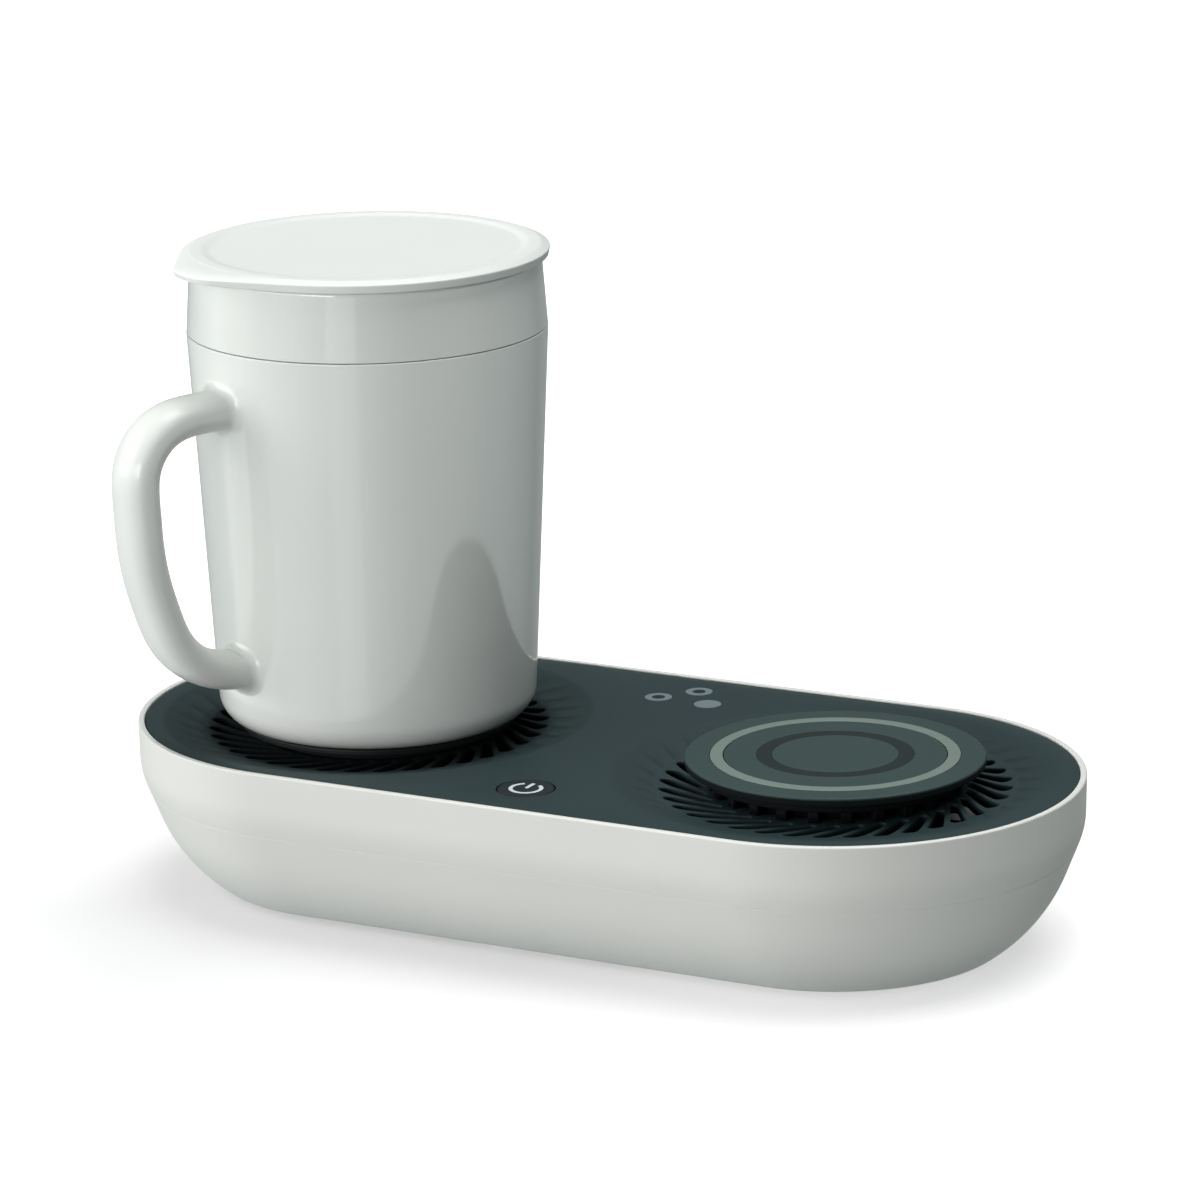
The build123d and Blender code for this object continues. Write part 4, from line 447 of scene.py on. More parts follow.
# ---------------------------------------------------------------- cooling under the heated station
# A black anodised heat sink with fins and a Peltier module on it, between two grey thermal pads. Four
# screws hold the sink to its posts, and a steel-cased sensor reaches up into the heating plate's block.
sink_finish = metal(
    "black_anodised", (0.030, 0.031, 0.033, 1), (0.022, 0.023, 0.025, 1), 0.42, 700, (0.04, 1, 1), 0.00002,
)
pad_finish = moulded("thermal_pad", (0.30, 0.33, 0.36, 1), (0.24, 0.27, 0.30, 1), 0.82, 1800, 0.00006)
ceramic_finish = moulded("alumina", (0.80, 0.79, 0.75, 1), (0.74, 0.73, 0.69, 1), 0.55, 3000, 0.00002)
sensor_finish = metal(
    "drawn_steel", (0.58, 0.57, 0.56, 1), (0.48, 0.47, 0.46, 1), 0.30, 800, (1, 1, 0.05), 0.00001,
)
dress(sink_finish, "heat_sink")
dress(pad_finish, "thermal_pads")
dress(ceramic_finish, "peltier_module")
dress(screw_finish, "heat_sink_screws")
dress(sensor_finish, "temperature_sensor")

# ---------------------------------------------------------------- fan
# A small blower hangs in the other half of the bowl: black frame and impeller, a wound copper stator, a
# bonded magnet ring in the hub and a ground steel shaft in a bronze bearing.
fan_finish = moulded("fan_plastic", (0.009, 0.010, 0.011, 1), (0.013, 0.014, 0.015, 1), 0.5, 3200, 0.00002)
magnet_finish = moulded(
    "bonded_magnet", (0.045, 0.044, 0.043, 1), (0.075, 0.073, 0.070, 1), 0.60, 5200, 0.00003,
)
bronze_finish = metal(
    "sintered_bronze", (0.55, 0.34, 0.15, 1), (0.44, 0.26, 0.11, 1), 0.48, 2600, (1, 1, 1), 0.00003,
)
shaft_finish = metal(
    "ground_steel", (0.66, 0.66, 0.66, 1), (0.58, 0.58, 0.58, 1), 0.20, 1400, (1, 1, 0.04), 0.000006,
)
winding_finish = metal(
    "wound_copper", (0.80, 0.36, 0.16, 1), (0.62, 0.25, 0.10, 1), 0.32, 2400, (0.06, 0.06, 1), 0.00008,
)
dress(fan_finish, "fan_frame", "fan_impeller")
dress(magnet_finish, "fan_magnet")
dress(bronze_finish, "fan_bearing")
dress(shaft_finish, "fan_shaft")
dress(winding_finish, "fan_stator")
dress(screw_finish, "fan_screws")

# ---------------------------------------------------------------- main board
# A green fibreglass board with its parts soldered on: black chips, two silver capacitors, an inductor, the
# power switch under the button and one LED under each window.


def copper_tracks(name, resist, track):
    """Solder resist with copper tracks under it: raised lines along the edges of square cells."""
    finish = Finish(name, Roughness=0.36, Coat_Weight=0.25, Coat_Roughness=0.2)
    cells = finish.node(
        "TexBrick", {"offset": 0.37, "squash": 1.6, "squash_frequency": 3},
        {
            "Vector": finish.place(), "Scale": 260, "Mortar Size": 0.035, "Brick Width": 0.6,
            "Row Height": 0.35,
        },
        "Fac",
    )
    weave = finish.noise(1400, 2)
    return finish.set(
        Base_Color=finish.mix(cells, resist, track),
        Normal=finish.relief(cells * 0.7 + weave * 0.3, 0.00004, 0.6),
    )


board_finish = copper_tracks("solder_resist", (0.012, 0.085, 0.035, 1), (0.035, 0.16, 0.065, 1))
chip_finish = moulded("chip_epoxy", (0.017, 0.017, 0.018, 1), (0.024, 0.024, 0.025, 1), 0.55, 5200, 0.00002)
can_finish = metal(
    "capacitor_can", (0.72, 0.72, 0.73, 1), (0.64, 0.64, 0.66, 1), 0.30, 900, (1, 1, 0.06), 0.000008,
)
led_finish = moulded("led_resin", (0.78, 0.76, 0.62, 1), (0.72, 0.69, 0.54, 1), 0.32, 2000, 0.00001)
dress(board_finish, "main_board", "coil_board")
dress(chip_finish, "chips", "inductor", "button_switch", "power_inlet")
dress(can_finish, "capacitors")
dress(screw_finish, "board_screws")
dress(sensor_finish, "inlet_pin")
dress(led_finish, "indicator_leds")

# ---------------------------------------------------------------- deck
# The deck is a charcoal plate moulded in one piece. Round each station it dips into a shallow dish with 36
# swirling vent slots, and the ribs between the slots run on outward as fine louvres. It drops onto the ledge.
DECK_TOP, DECK_R = 40.7, 55.85
DECK_THICKNESS = 2.2
DISH_R, DISH_TURN_R = 51.5, 38.81  # where the slope starts, and where it turns level
DISH_SLOPE = 0.26
DISH_BLEND_R = 52.3  # where the dish's own sheet ends in the level deck
VENT_COUNT = 36
VENT_TURN = 2 * math.pi / VENT_COUNT
VENT_SWIRL = math.radians(15.0)  # how far a slot turns on its way in
VENT_ROOT_R, VENT_TIP_R = 30.0, 40.6  # inner and outer ends of the slots
VENT_ROOT_W, VENT_TIP_W = 0.95, 1.75  # half widths there
VENT_ROOT = (VENT_ROOT_R + VENT_ROOT_W) * np.array([math.cos(VENT_SWIRL), math.sin(VENT_SWIRL)])
VENT_TIP = np.array([VENT_TIP_R - VENT_TIP_W, 0.0])
VENT_EDGE, HOLE_EDGE = 0.3, 0.22  # rounding of the edges
RIB_STEPS = 10
MUG_LOUVRE_DEPTH, MUG_LOUVRE_FADE = 0.32, 45.0
PAD_LOUVRE_DEPTH, PAD_LOUVRE_FADE = 0.30, 43.5
PLATE_HOLE_R = 27.2
WIRE_HOLE_R, PAD_SCREW_HOLE_R, PAD_SCREW_REACH = 4.0, 1.4, 16
BUTTON_PLACE, BUTTON_HOLE_R = (1.3, -40.3), 6.85
WINDOW_PLACES, WINDOW_HOLE_R = [(-4.4, 37.9), (2.5, 46.0), (9.1, 37.3)], 3.33
CHARCOAL = (0.0225, 0.0395, 0.0420, 1)
CHARCOAL_SHADE = (0.0202, 0.0358, 0.0382, 1)
# Near-black painted shade for the slots, the deck's and cap's undersides, the cap's edge and the dish round
# the mug's foot.
PAINTED_SHADE_BLACK = (0.0020, 0.0040, 0.0048, 1)


def ramp(x, low, high):
    """Smooth rise from 0 at low to 1 at high."""
    t = np.clip((x - low) / (high - low), 0, 1)
    return t * t * (3 - 2 * t)


def eased(x, blend):
    """x above zero and nothing below it, with the corner rounded over a blend either side."""
    return np.where(x > blend, x, np.where(x < -blend, 0, (x + blend) ** 2 / (4 * blend)))


def dish(radius):
    """Height of the deck's top at a radius from a station's axis: level, then a slope, then a level hub."""
    return DECK_TOP - DISH_SLOPE * (eased(DISH_R - radius, 0.8) - eased(DISH_TURN_R - radius, 3.0))


def vent_side(side, grow):
    """Radius and angle down one side (1 or -1) of a slot, moved out by grow: from its innermost point round
    its root, along its flank and round its tip to its outermost point. A flank touches the circles of both
    ends, so it leans off the slot's line by the angle whose sine is their difference over their distance."""
    along = VENT_TIP - VENT_ROOT
    length = np.linalg.norm(along)
    heading = math.atan2(along[1], along[0])
    flank = heading + side * (math.pi / 2 + math.asin((VENT_TIP_W - VENT_ROOT_W) / length))
    inmost = VENT_SWIRL + side * math.pi
    root, tip = np.linspace(inmost, flank, 9), np.linspace(flank, 0, 9)
    root = VENT_ROOT + (VENT_ROOT_W + grow) * np.stack([np.cos(root), np.sin(root)], -1)
    tip = VENT_TIP + (VENT_TIP_W + grow) * np.stack([np.cos(tip), np.sin(tip)], -1)
    line = np.concatenate([root, np.linspace(root[-1], tip[0], 11)[1:-1], tip])
    return np.hypot(*line.T), np.arctan2(line[:, 1], line[:, 0])


def polar(radius, angle, height, centre):
    """Points from radii and angles about an upright axis."""
    radius, angle, height = np.broadcast_arrays(radius, angle, height)
    return np.stack([centre[0] + radius * np.cos(angle), centre[1] + radius * np.sin(angle), height], -1)


def swirled(radius, angle, height, centre, **closed):
    """One patch in polar form for each slot, each turned on from the last by a slot's share of the circle."""
    return [grid(polar(radius, angle + k * VENT_TURN, height, centre), **closed) for k in range(VENT_COUNT)]


def rib_sheet(centre, grow, drop, across):
    """The ribs between the slots, each spun from one slot's side to the next slot's other side."""
    (near_r, near_a), (far_r, far_a) = vent_side(1, grow), vent_side(-1, grow)
    share = np.linspace(0, 1, across + 1)
    radius = near_r[:, None] * (1 - share) + far_r[:, None] * share
    angle = near_a[:, None] * (1 - share) + (far_a[:, None] + VENT_TURN) * share
    return swirled(radius, angle, dish(radius) - drop, centre)


def vent_walls(centre):
    """Walls of all the slots: a rounded edge, then straight down through the deck."""
    rows = []
    edge = ((VENT_EDGE, 0), (0.17, 0.035), (0.07, 0.11), (0.01, 0.24), (0, 0.42), (0, DECK_THICKNESS))
    for grow, drop in edge:
        (near_r, near_a), (far_r, far_a) = vent_side(1, grow), vent_side(-1, grow)
        radius, angle = np.append(near_r, far_r[-2:0:-1]), np.append(near_a, far_a[-2:0:-1])
        rows.append((radius, angle, dish(radius) - drop))
    radius, angle, height = (np.array(part) for part in zip(*rows))
    return swirled(radius, angle, height, centre, round_columns=True)


def vent_lean(radius, start):
    """Turn of a slot's line where it runs on outward from a start radius, past the slot's end. The line
    passes the axis at an offset, and the angle to its nearest point has the cosine offset over radius."""
    along = VENT_TIP - VENT_ROOT
    offset = abs(along[0] * VENT_TIP[1] - along[1] * VENT_TIP[0]) / np.linalg.norm(along)
    return np.arccos(offset / start) - np.arccos(offset / radius)


def louvres(centre, radii, drop, across, depth, fade=PAD_LOUVRE_FADE):
    """Sheet outside the slots. Each slot's line runs on outward, and between two lines the sheet sinks slowly
    and rises again in one step. Past the fade radius it comes level towards the dish's edge."""
    share = np.arange(VENT_COUNT * across) / across
    radius = np.asarray(radii, float)[:, None]
    start = VENT_TIP_R + VENT_EDGE
    sink = depth * ramp(radius, start, start + 1.4) * (1 - ramp(radius, fade, DISH_R + 0.1)) * (share % 1)
    angle = share * VENT_TURN + vent_lean(radius, radii[0])
    return grid(polar(radius, angle, dish(radius) - drop - sink, centre), False, True)


def end_ring(centre, radius, across, first=0.0):
    """Points where a sheet of ribs or louvres ends, as an outline for the level sheet that meets it."""
    share = np.arange(VENT_COUNT * across) / across
    return polar(radius, first + share * VENT_TURN, 0, centre)[:, :2]


def eased_hole(centre, radius, steps=72):
    """Wall of a round hole in the deck: a rounded edge and a straight bore."""
    turn = np.linspace(0, math.pi / 2, 5)
    reach = radius + HOLE_EDGE * (1 - np.sin(turn))
    profile = np.stack([reach, DECK_TOP - HOLE_EDGE * (1 - np.cos(turn))], -1)
    profile = np.append(profile, [(radius, DECK_TOP - 0.6), (radius, DECK_TOP - DECK_THICKNESS)], 0)
    return grid(turned(profile, centre, steps), True)


def mark(made, name, share):
    """Writes a named value from 0 to 1 on each of a mesh's points. Share works it out from the points in
    millimetres. The value depth is painted shade, from 0 in the open to 1 in the dark."""
    flat = np.empty(3 * len(made.data.vertices))
    made.data.vertices.foreach_get("co", flat)
    values = np.clip(share(flat.reshape(-1, 3) * 1000), 0, 1)
    made.data.attributes.new(name, "FLOAT", "POINT").data.foreach_set("value", values)


def deck_station(centre, hub_holes, louvre_depth, louvre_fade):
    """One station's ribs, slot walls and louvres, with the hub inside them, above and below."""
    radii = np.linspace(VENT_TIP_R + VENT_EDGE, DISH_BLEND_R, 20)
    foot_radii = np.linspace(VENT_TIP_R, DISH_BLEND_R, 5)
    parts = rib_sheet(centre, VENT_EDGE, 0, RIB_STEPS) + vent_walls(centre)
    parts += rib_sheet(centre, 0, DECK_THICKNESS, 1)
    parts.append(louvres(centre, radii, 0, RIB_STEPS, louvre_depth, louvre_fade))
    parts.append(louvres(centre, foot_radii, DECK_THICKNESS, 1, 0))
    hub_top = float(dish(0))
    hub_foot = hub_top - DECK_THICKNESS
    parts.append(field(end_ring(centre, VENT_ROOT_R - VENT_EDGE, RIB_STEPS, VENT_SWIRL), hub_holes, hub_top))
    parts.append(field(end_ring(centre, VENT_ROOT_R, 1, VENT_SWIRL), hub_holes, hub_foot))
    parts += [upright(hole, (hub_foot, hub_top - 0.2, hub_top)) for hole in hub_holes]
    return parts


MUG_STATION, PAD_STATION = (-STATION, 0.0), (STATION, 0.0)
pad_screw_places = ring(PAD_SCREW_REACH, PAD_STATION, 3)
pad_holes = [ring(PAD_SCREW_HOLE_R, place, 20) for place in pad_screw_places]
pad_holes.insert(0, ring(WIRE_HOLE_R, PAD_STATION, 36))
plate_hole = ring(PLATE_HOLE_R, MUG_STATION, 120)
deck_patches = deck_station(MUG_STATION, [plate_hole], MUG_LOUVRE_DEPTH, MUG_LOUVRE_FADE)
deck_patches += deck_station(PAD_STATION, pad_holes, PAD_LOUVRE_DEPTH, PAD_LOUVRE_FADE)

# The level part between and round the dishes, with the button's hole and the windows' holes in it.
deck_edge = [
    (55.5, DECK_TOP), (55.68, 40.66), (55.8, 40.56), (DECK_R, 40.4), (DECK_R, 40.2), (DECK_R, LEDGE_TOP),
]
top_lean = float(vent_lean(DISH_BLEND_R, VENT_TIP_R + VENT_EDGE))
foot_lean = float(vent_lean(DISH_BLEND_R, VENT_TIP_R))
control_holes = [(BUTTON_PLACE, BUTTON_HOLE_R)] + [(place, WINDOW_HOLE_R) for place in WINDOW_PLACES]
deck_patches.append(grid(racetrack(deck_edge), True))
deck_patches.append(field(
    racetrack([deck_edge[0]])[:, 0, :2],
    [end_ring(centre, DISH_BLEND_R, RIB_STEPS, top_lean) for centre in (MUG_STATION, PAD_STATION)]
    + [ring(radius + HOLE_EDGE, place, 72) for place, radius in control_holes],
    DECK_TOP,
))
deck_patches.append(field(
    racetrack([deck_edge[-1]])[:, 0, :2],
    [end_ring(centre, DISH_BLEND_R, 1, foot_lean) for centre in (MUG_STATION, PAD_STATION)]
    + [ring(radius, place, 72) for place, radius in control_holes],
    DECK_TOP - DECK_THICKNESS,
))
deck_patches += [eased_hole(place, radius) for place, radius in control_holes]
sleeve = [(0, 38.8), (3.2, 38.8), (3.2, BOWL_TOP), (1.55, BOWL_TOP), (1.55, 33.6), (0, 33.6)]
sleeve = rounded(sleeve, (0, 0, 0.2, 0.2, 0, 0), 3)
deck_patches += [grid(turned(sleeve, place, 32), True) for place in CASING_POSTS]

# The slots, the deck's underside and the mug's dish take painted shade through the depth value.
deck_finish = moulded(
    "deck_charcoal", CHARCOAL, CHARCOAL_SHADE, 0.46, 5200, 0.00002, PAINTED_SHADE_BLACK, Specular_IOR_Level=0.12,
)
deck_plate = piece("deck_plate", deck_patches, deck_finish, "base", "deck")


def deck_painted_shade(at):
    """Painted shade below the dish's surface, in the slots and on the deck's underside. The mug's dish takes
    painted shade from the mug as well, to matt black beside the heating plate: a faint shade out to the
    dish's edge, and a strong one that ends beyond the slots."""
    radius = np.hypot(np.abs(at[:, 0]) - STATION, at[:, 1])
    # Painted shade from the mug standing on its dish: strong near its foot, faint out to the dish's edge.
    painted_mug_shade = 0.80 * (1 - ramp(radius, 38.5, 44)) + 0.11 * (1 - ramp(radius, 50.9, 51.9))
    return np.maximum(dish(radius) - 0.1 - at[:, 2], 0) + painted_mug_shade * (at[:, 0] < 0)


mark(deck_plate, "depth", deck_painted_shade)

# ---------------------------------------------------------------- heating plate and its seal
# A turned aluminium plate, hard anodised near black, carries the mug on a fine ringed face. Its block passes
# down through the deck inside a dark silicone seal. The near black of both is partly their own dark finish
# and partly painted shade for the deep shade under the mug's foot.
PLATE_TOP, PLATE_R, PLATE_RIM_FOOT = 41.0, 33.0, 39.4
BLOCK_R, BLOCK_FOOT = 25.0, 34.5
plate_outline = rounded(
    [
        (0, BLOCK_FOOT), (BLOCK_R, BLOCK_FOOT), (BLOCK_R, PLATE_RIM_FOOT), (PLATE_R, PLATE_RIM_FOOT),
        (PLATE_R, PLATE_TOP), (0, PLATE_TOP),
    ],
    (0, 0.3, 0.2, 0.3, 0.4, 0), 4,
)
plate_finish = Finish("anodised_aluminium", Specular_IOR_Level=0.18)
plate_place = plate_finish.place((1, 1, 0.1), (STATION / 1000, 0, 0))
plate_rings = plate_finish.node(
    "TexWave", {"wave_type": "RINGS", "rings_direction": "Z"},
    {"Vector": plate_place, "Scale": 260, "Distortion": 0.6, "Detail": 2, "Detail Scale": 3}, "Fac",
)
plate_stains = plate_finish.noise(40, 3)
plate_finish.set(
    Base_Color=plate_finish.mix(plate_stains, (0.006, 0.007, 0.008, 1), (0.010, 0.011, 0.012, 1)),
    Roughness=plate_rings * 0.10 + plate_stains * 0.08 + 0.38,
    Normal=plate_finish.relief(plate_rings, 0.00001, 0.5),
)
plate_sweep = grid(turned(plate_outline, MUG_STATION), True)
piece("heated_plate", [plate_sweep], plate_finish, "base", "heating_plate")

# Near black: partly dark silicone, partly painted shade where the seal stands under the mug's foot.
silicone_finish = moulded(
    "silicone", (0.007, 0.008, 0.009, 1), (0.010, 0.011, 0.012, 1), 0.72, 1500, 0.00003,
    Specular_IOR_Level=0.12,
)
dress(silicone_finish, "plate_seal")

# ---------------------------------------------------------------- charging pad
# The pad's cap is a charcoal disc that stands over a darker finned base. A light grey ring and a dark ring
# are pressed into grooves in its top. The coil, its ferrite sheet and a round board lie inside.
CAP_TOP, CAP_FOOT, CAP_R = 45.07, 43.07, 34.6
CAP_INNER_R, CAP_INNER_FOOT = 29.4, 43.27
GROOVE_FLOOR = 44.37
LIGHT_GROOVE, LIGHT_RING = (25.6, 28.8), (25.78, 28.72)  # inner and outer radius
DARK_GROOVE, DARK_RING = (14.55, 18.15), (14.6, 18.1)
LIGHT_RING_TOP = CAP_TOP + 0.1
TIER_R, TIER_FOOT = 31.4, 40.67
NECK_R, NECK_WALL_R, NECK_FOOT = 25.5, 24.3, 37.4
FIN_COUNT, FIN_R, FIN_HALF_WIDTH, FIN_TOP = 24, 29.0, 1.3, 40.8
cap_outline = rounded(
    [
        (0, CAP_INNER_FOOT), (CAP_INNER_R, CAP_INNER_FOOT), (CAP_INNER_R, CAP_FOOT), (CAP_R, CAP_FOOT),
        (CAP_R, CAP_TOP), (LIGHT_GROOVE[1], CAP_TOP), (LIGHT_GROOVE[1], GROOVE_FLOOR),
        (LIGHT_GROOVE[0], GROOVE_FLOOR), (LIGHT_GROOVE[0], CAP_TOP), (DARK_GROOVE[1], CAP_TOP),
        (DARK_GROOVE[1], GROOVE_FLOOR), (DARK_GROOVE[0], GROOVE_FLOOR), (DARK_GROOVE[0], CAP_TOP),
        (0, CAP_TOP),
    ],
    (0, 0, 0.05, 0.35, 0.45, 0.12, 0, 0, 0.12, 0.05, 0, 0, 0.05, 0), 5,
)
tier_outline = rounded(
    [
        (0, NECK_FOOT), (NECK_R, NECK_FOOT), (NECK_R, TIER_FOOT), (TIER_R, TIER_FOOT), (TIER_R, CAP_FOOT),
        (CAP_INNER_R, CAP_FOOT), (CAP_INNER_R, 41.87), (NECK_WALL_R, 41.87), (NECK_WALL_R, 39.8), (0, 39.8),
    ],
    (0, 0, 0.2, 0.3, 0.15, 0, 0, 0, 0, 0), 4,
)


def ring_outline(radii, top, edge):
    """Section of a ring that stands on the groove's floor, with its two upper edges rounded."""
    inner, outer = radii
    corners = [(inner, GROOVE_FLOOR), (outer, GROOVE_FLOOR), (outer, top), (inner, top)]
    return rounded(corners, (0, 0, edge, edge), 4)


def neck_fin(angle):
    """One upright fin: a level outline with rounded outer corners, carried up, with a lid and a foot."""
    inner = NECK_R - 0.9
    outline = [
        (inner, -FIN_HALF_WIDTH), (FIN_R, -FIN_HALF_WIDTH), (FIN_R, FIN_HALF_WIDTH), (inner, FIN_HALF_WIDTH),
    ]
    spin = np.array([[math.cos(angle), math.sin(angle)], [-math.sin(angle), math.cos(angle)]])
    loop = rounded(outline, (0, 0.35, 0.35, 0), 5) @ spin + PAD_STATION
    return [upright(loop, (NECK_FOOT, FIN_TOP)), field(loop, [], NECK_FOOT), field(loop, [], FIN_TOP)]


def cap_painted_shade(at):
    """Painted shade down the cap's edge and under it, and a little darker on its top outside the light ring.
    """
    reach = np.hypot(at[:, 0] - STATION, at[:, 1])
    return (CAP_TOP - 0.35 - at[:, 2]) / 0.3 + 0.22 * (reach > LIGHT_GROOVE[1] - 0.1)


# The cap's edge and underside take painted shade through the depth value.
cap_finish = moulded(
    "cap_charcoal", (0.031, 0.055, 0.053, 1), (0.028, 0.051, 0.049, 1), 0.46, 5200, 0.000018, PAINTED_SHADE_BLACK,
    Specular_IOR_Level=0.17,
)
dark_finish = moulded(
    "dark_insert", (0.0115, 0.0190, 0.0195, 1), (0.010, 0.0165, 0.017, 1), 0.46, 5200, 0.000018,
    Specular_IOR_Level=0.13,
)
tier_finish = moulded(
    "tier_black", (0.0035, 0.0046, 0.0050, 1), (0.0028, 0.0038, 0.0042, 1), 0.7, 4200, 0.00002,
    Specular_IOR_Level=0.08,
)
ring_finish = moulded(
    "light_ring", (0.168, 0.212, 0.190, 1), (0.154, 0.195, 0.176, 1), 0.42, 4800, 0.000012,
    Specular_IOR_Level=0.3,
)
cap_sweep = grid(turned(cap_outline, PAD_STATION), True)
mark(piece("charging_cap", [cap_sweep], cap_finish, "base", "pad_cap"), "depth", cap_painted_shade)
light_sweep = grid(turned(ring_outline(LIGHT_RING, LIGHT_RING_TOP, 0.14), PAD_STATION), True)
piece("light_ring", [light_sweep], ring_finish, "base", "pad_light_ring")
dark_sweep = grid(turned(ring_outline(DARK_RING, CAP_TOP, 0.04), PAD_STATION), True)
piece("dark_ring", [dark_sweep], dark_finish, "base", "pad_dark_ring")
tier_patches = [grid(turned(tier_outline, PAD_STATION), True)]
for fin in range(FIN_COUNT):
    tier_patches += neck_fin(fin * 2 * math.pi / FIN_COUNT)
piece("finned_base", tier_patches, tier_finish, "base", "pad_base")

coil_finish = metal(
    "enamelled_copper", (0.70, 0.28, 0.11, 1), (0.55, 0.20, 0.07, 1), 0.28, 2200, (1, 1, 0.1), 0.00006,
)
ferrite_finish = moulded("ferrite", (0.040, 0.040, 0.043, 1), (0.060, 0.060, 0.064, 1), 0.52, 3600, 0.00004)
dress(coil_finish, "charging_coil")
dress(ferrite_finish, "ferrite_sheet")
dress(screw_finish, "pad_screws")

# ---------------------------------------------------------------- button and indicator windows
# The power button is a charcoal cap on a stem, with a pale icon moulded through it. The windows are smoked
# plugs, two of them with a dark core, with an LED below each.
button_finish = moulded(
    "button_charcoal", (0.012, 0.018, 0.019, 1), (0.010, 0.015, 0.016, 1), 0.46, 5600, 0.000015,
    Specular_IOR_Level=0.18,
)
icon_finish = moulded("icon_resin", (0.62, 0.69, 0.76, 1), (0.56, 0.63, 0.70, 1), 0.45, 3000, 0.00001)
window_finish = moulded(
    "smoked_window", (0.165, 0.215, 0.235, 1), (0.140, 0.185, 0.205, 1), 0.34, 2600, 0.000008,
    Specular_IOR_Level=0.3,
)
dress(button_finish, "power_button")
dress(dark_finish, "button_plunger", "window_cores")
dress(icon_finish, "button_icon")
dress(window_finish, "indicator_windows")

# ---------------------------------------------------------------- mug
# The mug's outer shell is glossy white plastic with its handle moulded on. A steel liner hangs inside it from
# a collar that stands on a thin grey gasket, and a steel disc closes the bottom.
SEAT = 41.0
MUG_FOOT_R, MUG_SEAM_R, SEAM_HEIGHT = 37.6, 42.5, 94.2
HANDLE_ANGLE = math.radians(-116.0)
HANDLE_HALF_WIDTH, HANDLE_HALF_DEPTH = 6.75, 4.5
HANDLE_FULLNESS = 2.4
ROOT_FLARE = 2.2
SEAM_Z = SEAT + SEAM_HEIGHT
SEAM_GAP = 0.2
MUG_WHITE = (0.760, 0.776, 0.748, 1)
MUG_SHADE = (0.742, 0.758, 0.730, 1)


def wall_radius(rise):
    """Outer radius of the mug's wall at a height above its bottom."""
    return MUG_FOOT_R + (MUG_SEAM_R - MUG_FOOT_R) * rise / SEAM_HEIGHT


def section(steps=56):
    """Handle's section as (across, down) points: an ellipse filled out towards its corners."""
    turn = np.linspace(0, 2 * np.pi, steps, endpoint=False)
    cos, sin = np.cos(turn), np.sin(turn)
    power = 2 / HANDLE_FULLNESS
    return np.stack([
        HANDLE_HALF_WIDTH * np.sign(cos) * np.abs(cos) ** power,
        HANDLE_HALF_DEPTH * np.sign(sin) * np.abs(sin) ** power,
    ], -1)


def outward(loop):
    """Unit normals of a loop, out from its middle."""
    tangent = np.roll(loop, -1, 0) - np.roll(loop, 1, 0)
    normal = np.stack([tangent[:, 1], -tangent[:, 0]], -1) / np.linalg.norm(tangent, axis=1)[:, None]
    return normal * np.sign((normal * loop).sum(1).sum())


PATH_STEPS, PATH_EASE = 400, 27  # even steps along the path, and how many its average takes in on each side


def handle_rows():
    """Rings of (reach, across, rise) points along the handle. Between its ends they stand square to the
    path. At each end they follow the mug's wall at falling distances and widen as a quarter circle runs
    into the wall, and the last two lie just inside it."""
    corners = [(35.2, 80.5), (66.0, 79.7), (64.4, 46.0), (55.5, 19.5), (35.2, 17.0)]
    path = rounded(corners, (0, 14, 60, 20, 0), 40)
    length = np.append(0, np.cumsum(np.linalg.norm(np.diff(path, axis=0), axis=1)))
    even = np.linspace(0, length[-1], PATH_STEPS)
    path = np.stack([np.interp(even, length, path[:, i]) for i in (0, 1)], -1)
    weights = np.hanning(2 * PATH_EASE + 1)
    weights /= weights.sum()
    before = 2 * path[0] - path[PATH_EASE:0:-1]
    after = 2 * path[-1] - path[-2:-PATH_EASE - 2:-1]
    path = np.concatenate([before, path, after])
    path = np.stack([np.convolve(path[:, i], weights, "valid") for i in (0, 1)], -1)
    tangent = np.gradient(path, axis=0)
    tangent /= np.linalg.norm(tangent, axis=1)[:, None]
    square = np.stack([-tangent[:, 1], tangent[:, 0]], -1)
    keep = path[:, 0] > wall_radius(path[:, 1]) + ROOT_FLARE + 0.4
    shape = section()
    middle = path[keep][::3, None] + square[keep][::3, None] * shape[None, :, 1:]
    across = np.broadcast_to(shape[None, :, 0], middle.shape[:2])
    rows = [np.stack([middle[..., 0], across, middle[..., 1]], -1)]
    for first, order in ((0, 1), (-1, -1)):
        start, slope = path[first], tangent[first][1] / tangent[first][0]
        turn = np.linspace(0, np.pi / 2, 18)
        gaps = np.append(ROOT_FLARE - (ROOT_FLARE + 0.006) * np.sin(turn), (-0.05, -0.6))
        grows = np.append(ROOT_FLARE * (1 - np.cos(turn)), (ROOT_FLARE + 0.5, ROOT_FLARE + 0.6))
        flare = []
        for gap, grow in zip(gaps, grows):
            loop = shape + outward(shape) * grow
            rise = start[1] + order * loop[:, 1]
            reach = np.sqrt(wall_radius(rise) ** 2 - loop[:, 0] ** 2) + gap
            rise = rise + slope * (reach - start[0])
            flare.append(np.stack([reach, loop[:, 0], rise], -1))
        flare = np.array(flare)
        rows = [flare[::-1], *rows] if order > 0 else [*rows, flare]
    return np.concatenate(rows)


def on_handle(rows):
    """Turns (reach, across, rise) points out along the handle's direction from the mug's axis."""
    reach, across, rise = np.moveaxis(rows, -1, 0)
    cos, sin = math.cos(HANDLE_ANGLE), math.sin(HANDLE_ANGLE)
    return np.stack([reach * cos + across * sin - STATION, reach * sin - across * cos, rise + SEAT], -1)


shell_outline = rounded(
    [
        (29.1, SEAT), (MUG_FOOT_R, SEAT), (MUG_SEAM_R, SEAM_Z), (40.1, SEAM_Z), (35.32, 43.4), (29.1, 43.4),
    ],
    (0.2, 6.5, 0.30, 0.15, 4.1, 0.1), 14,
)


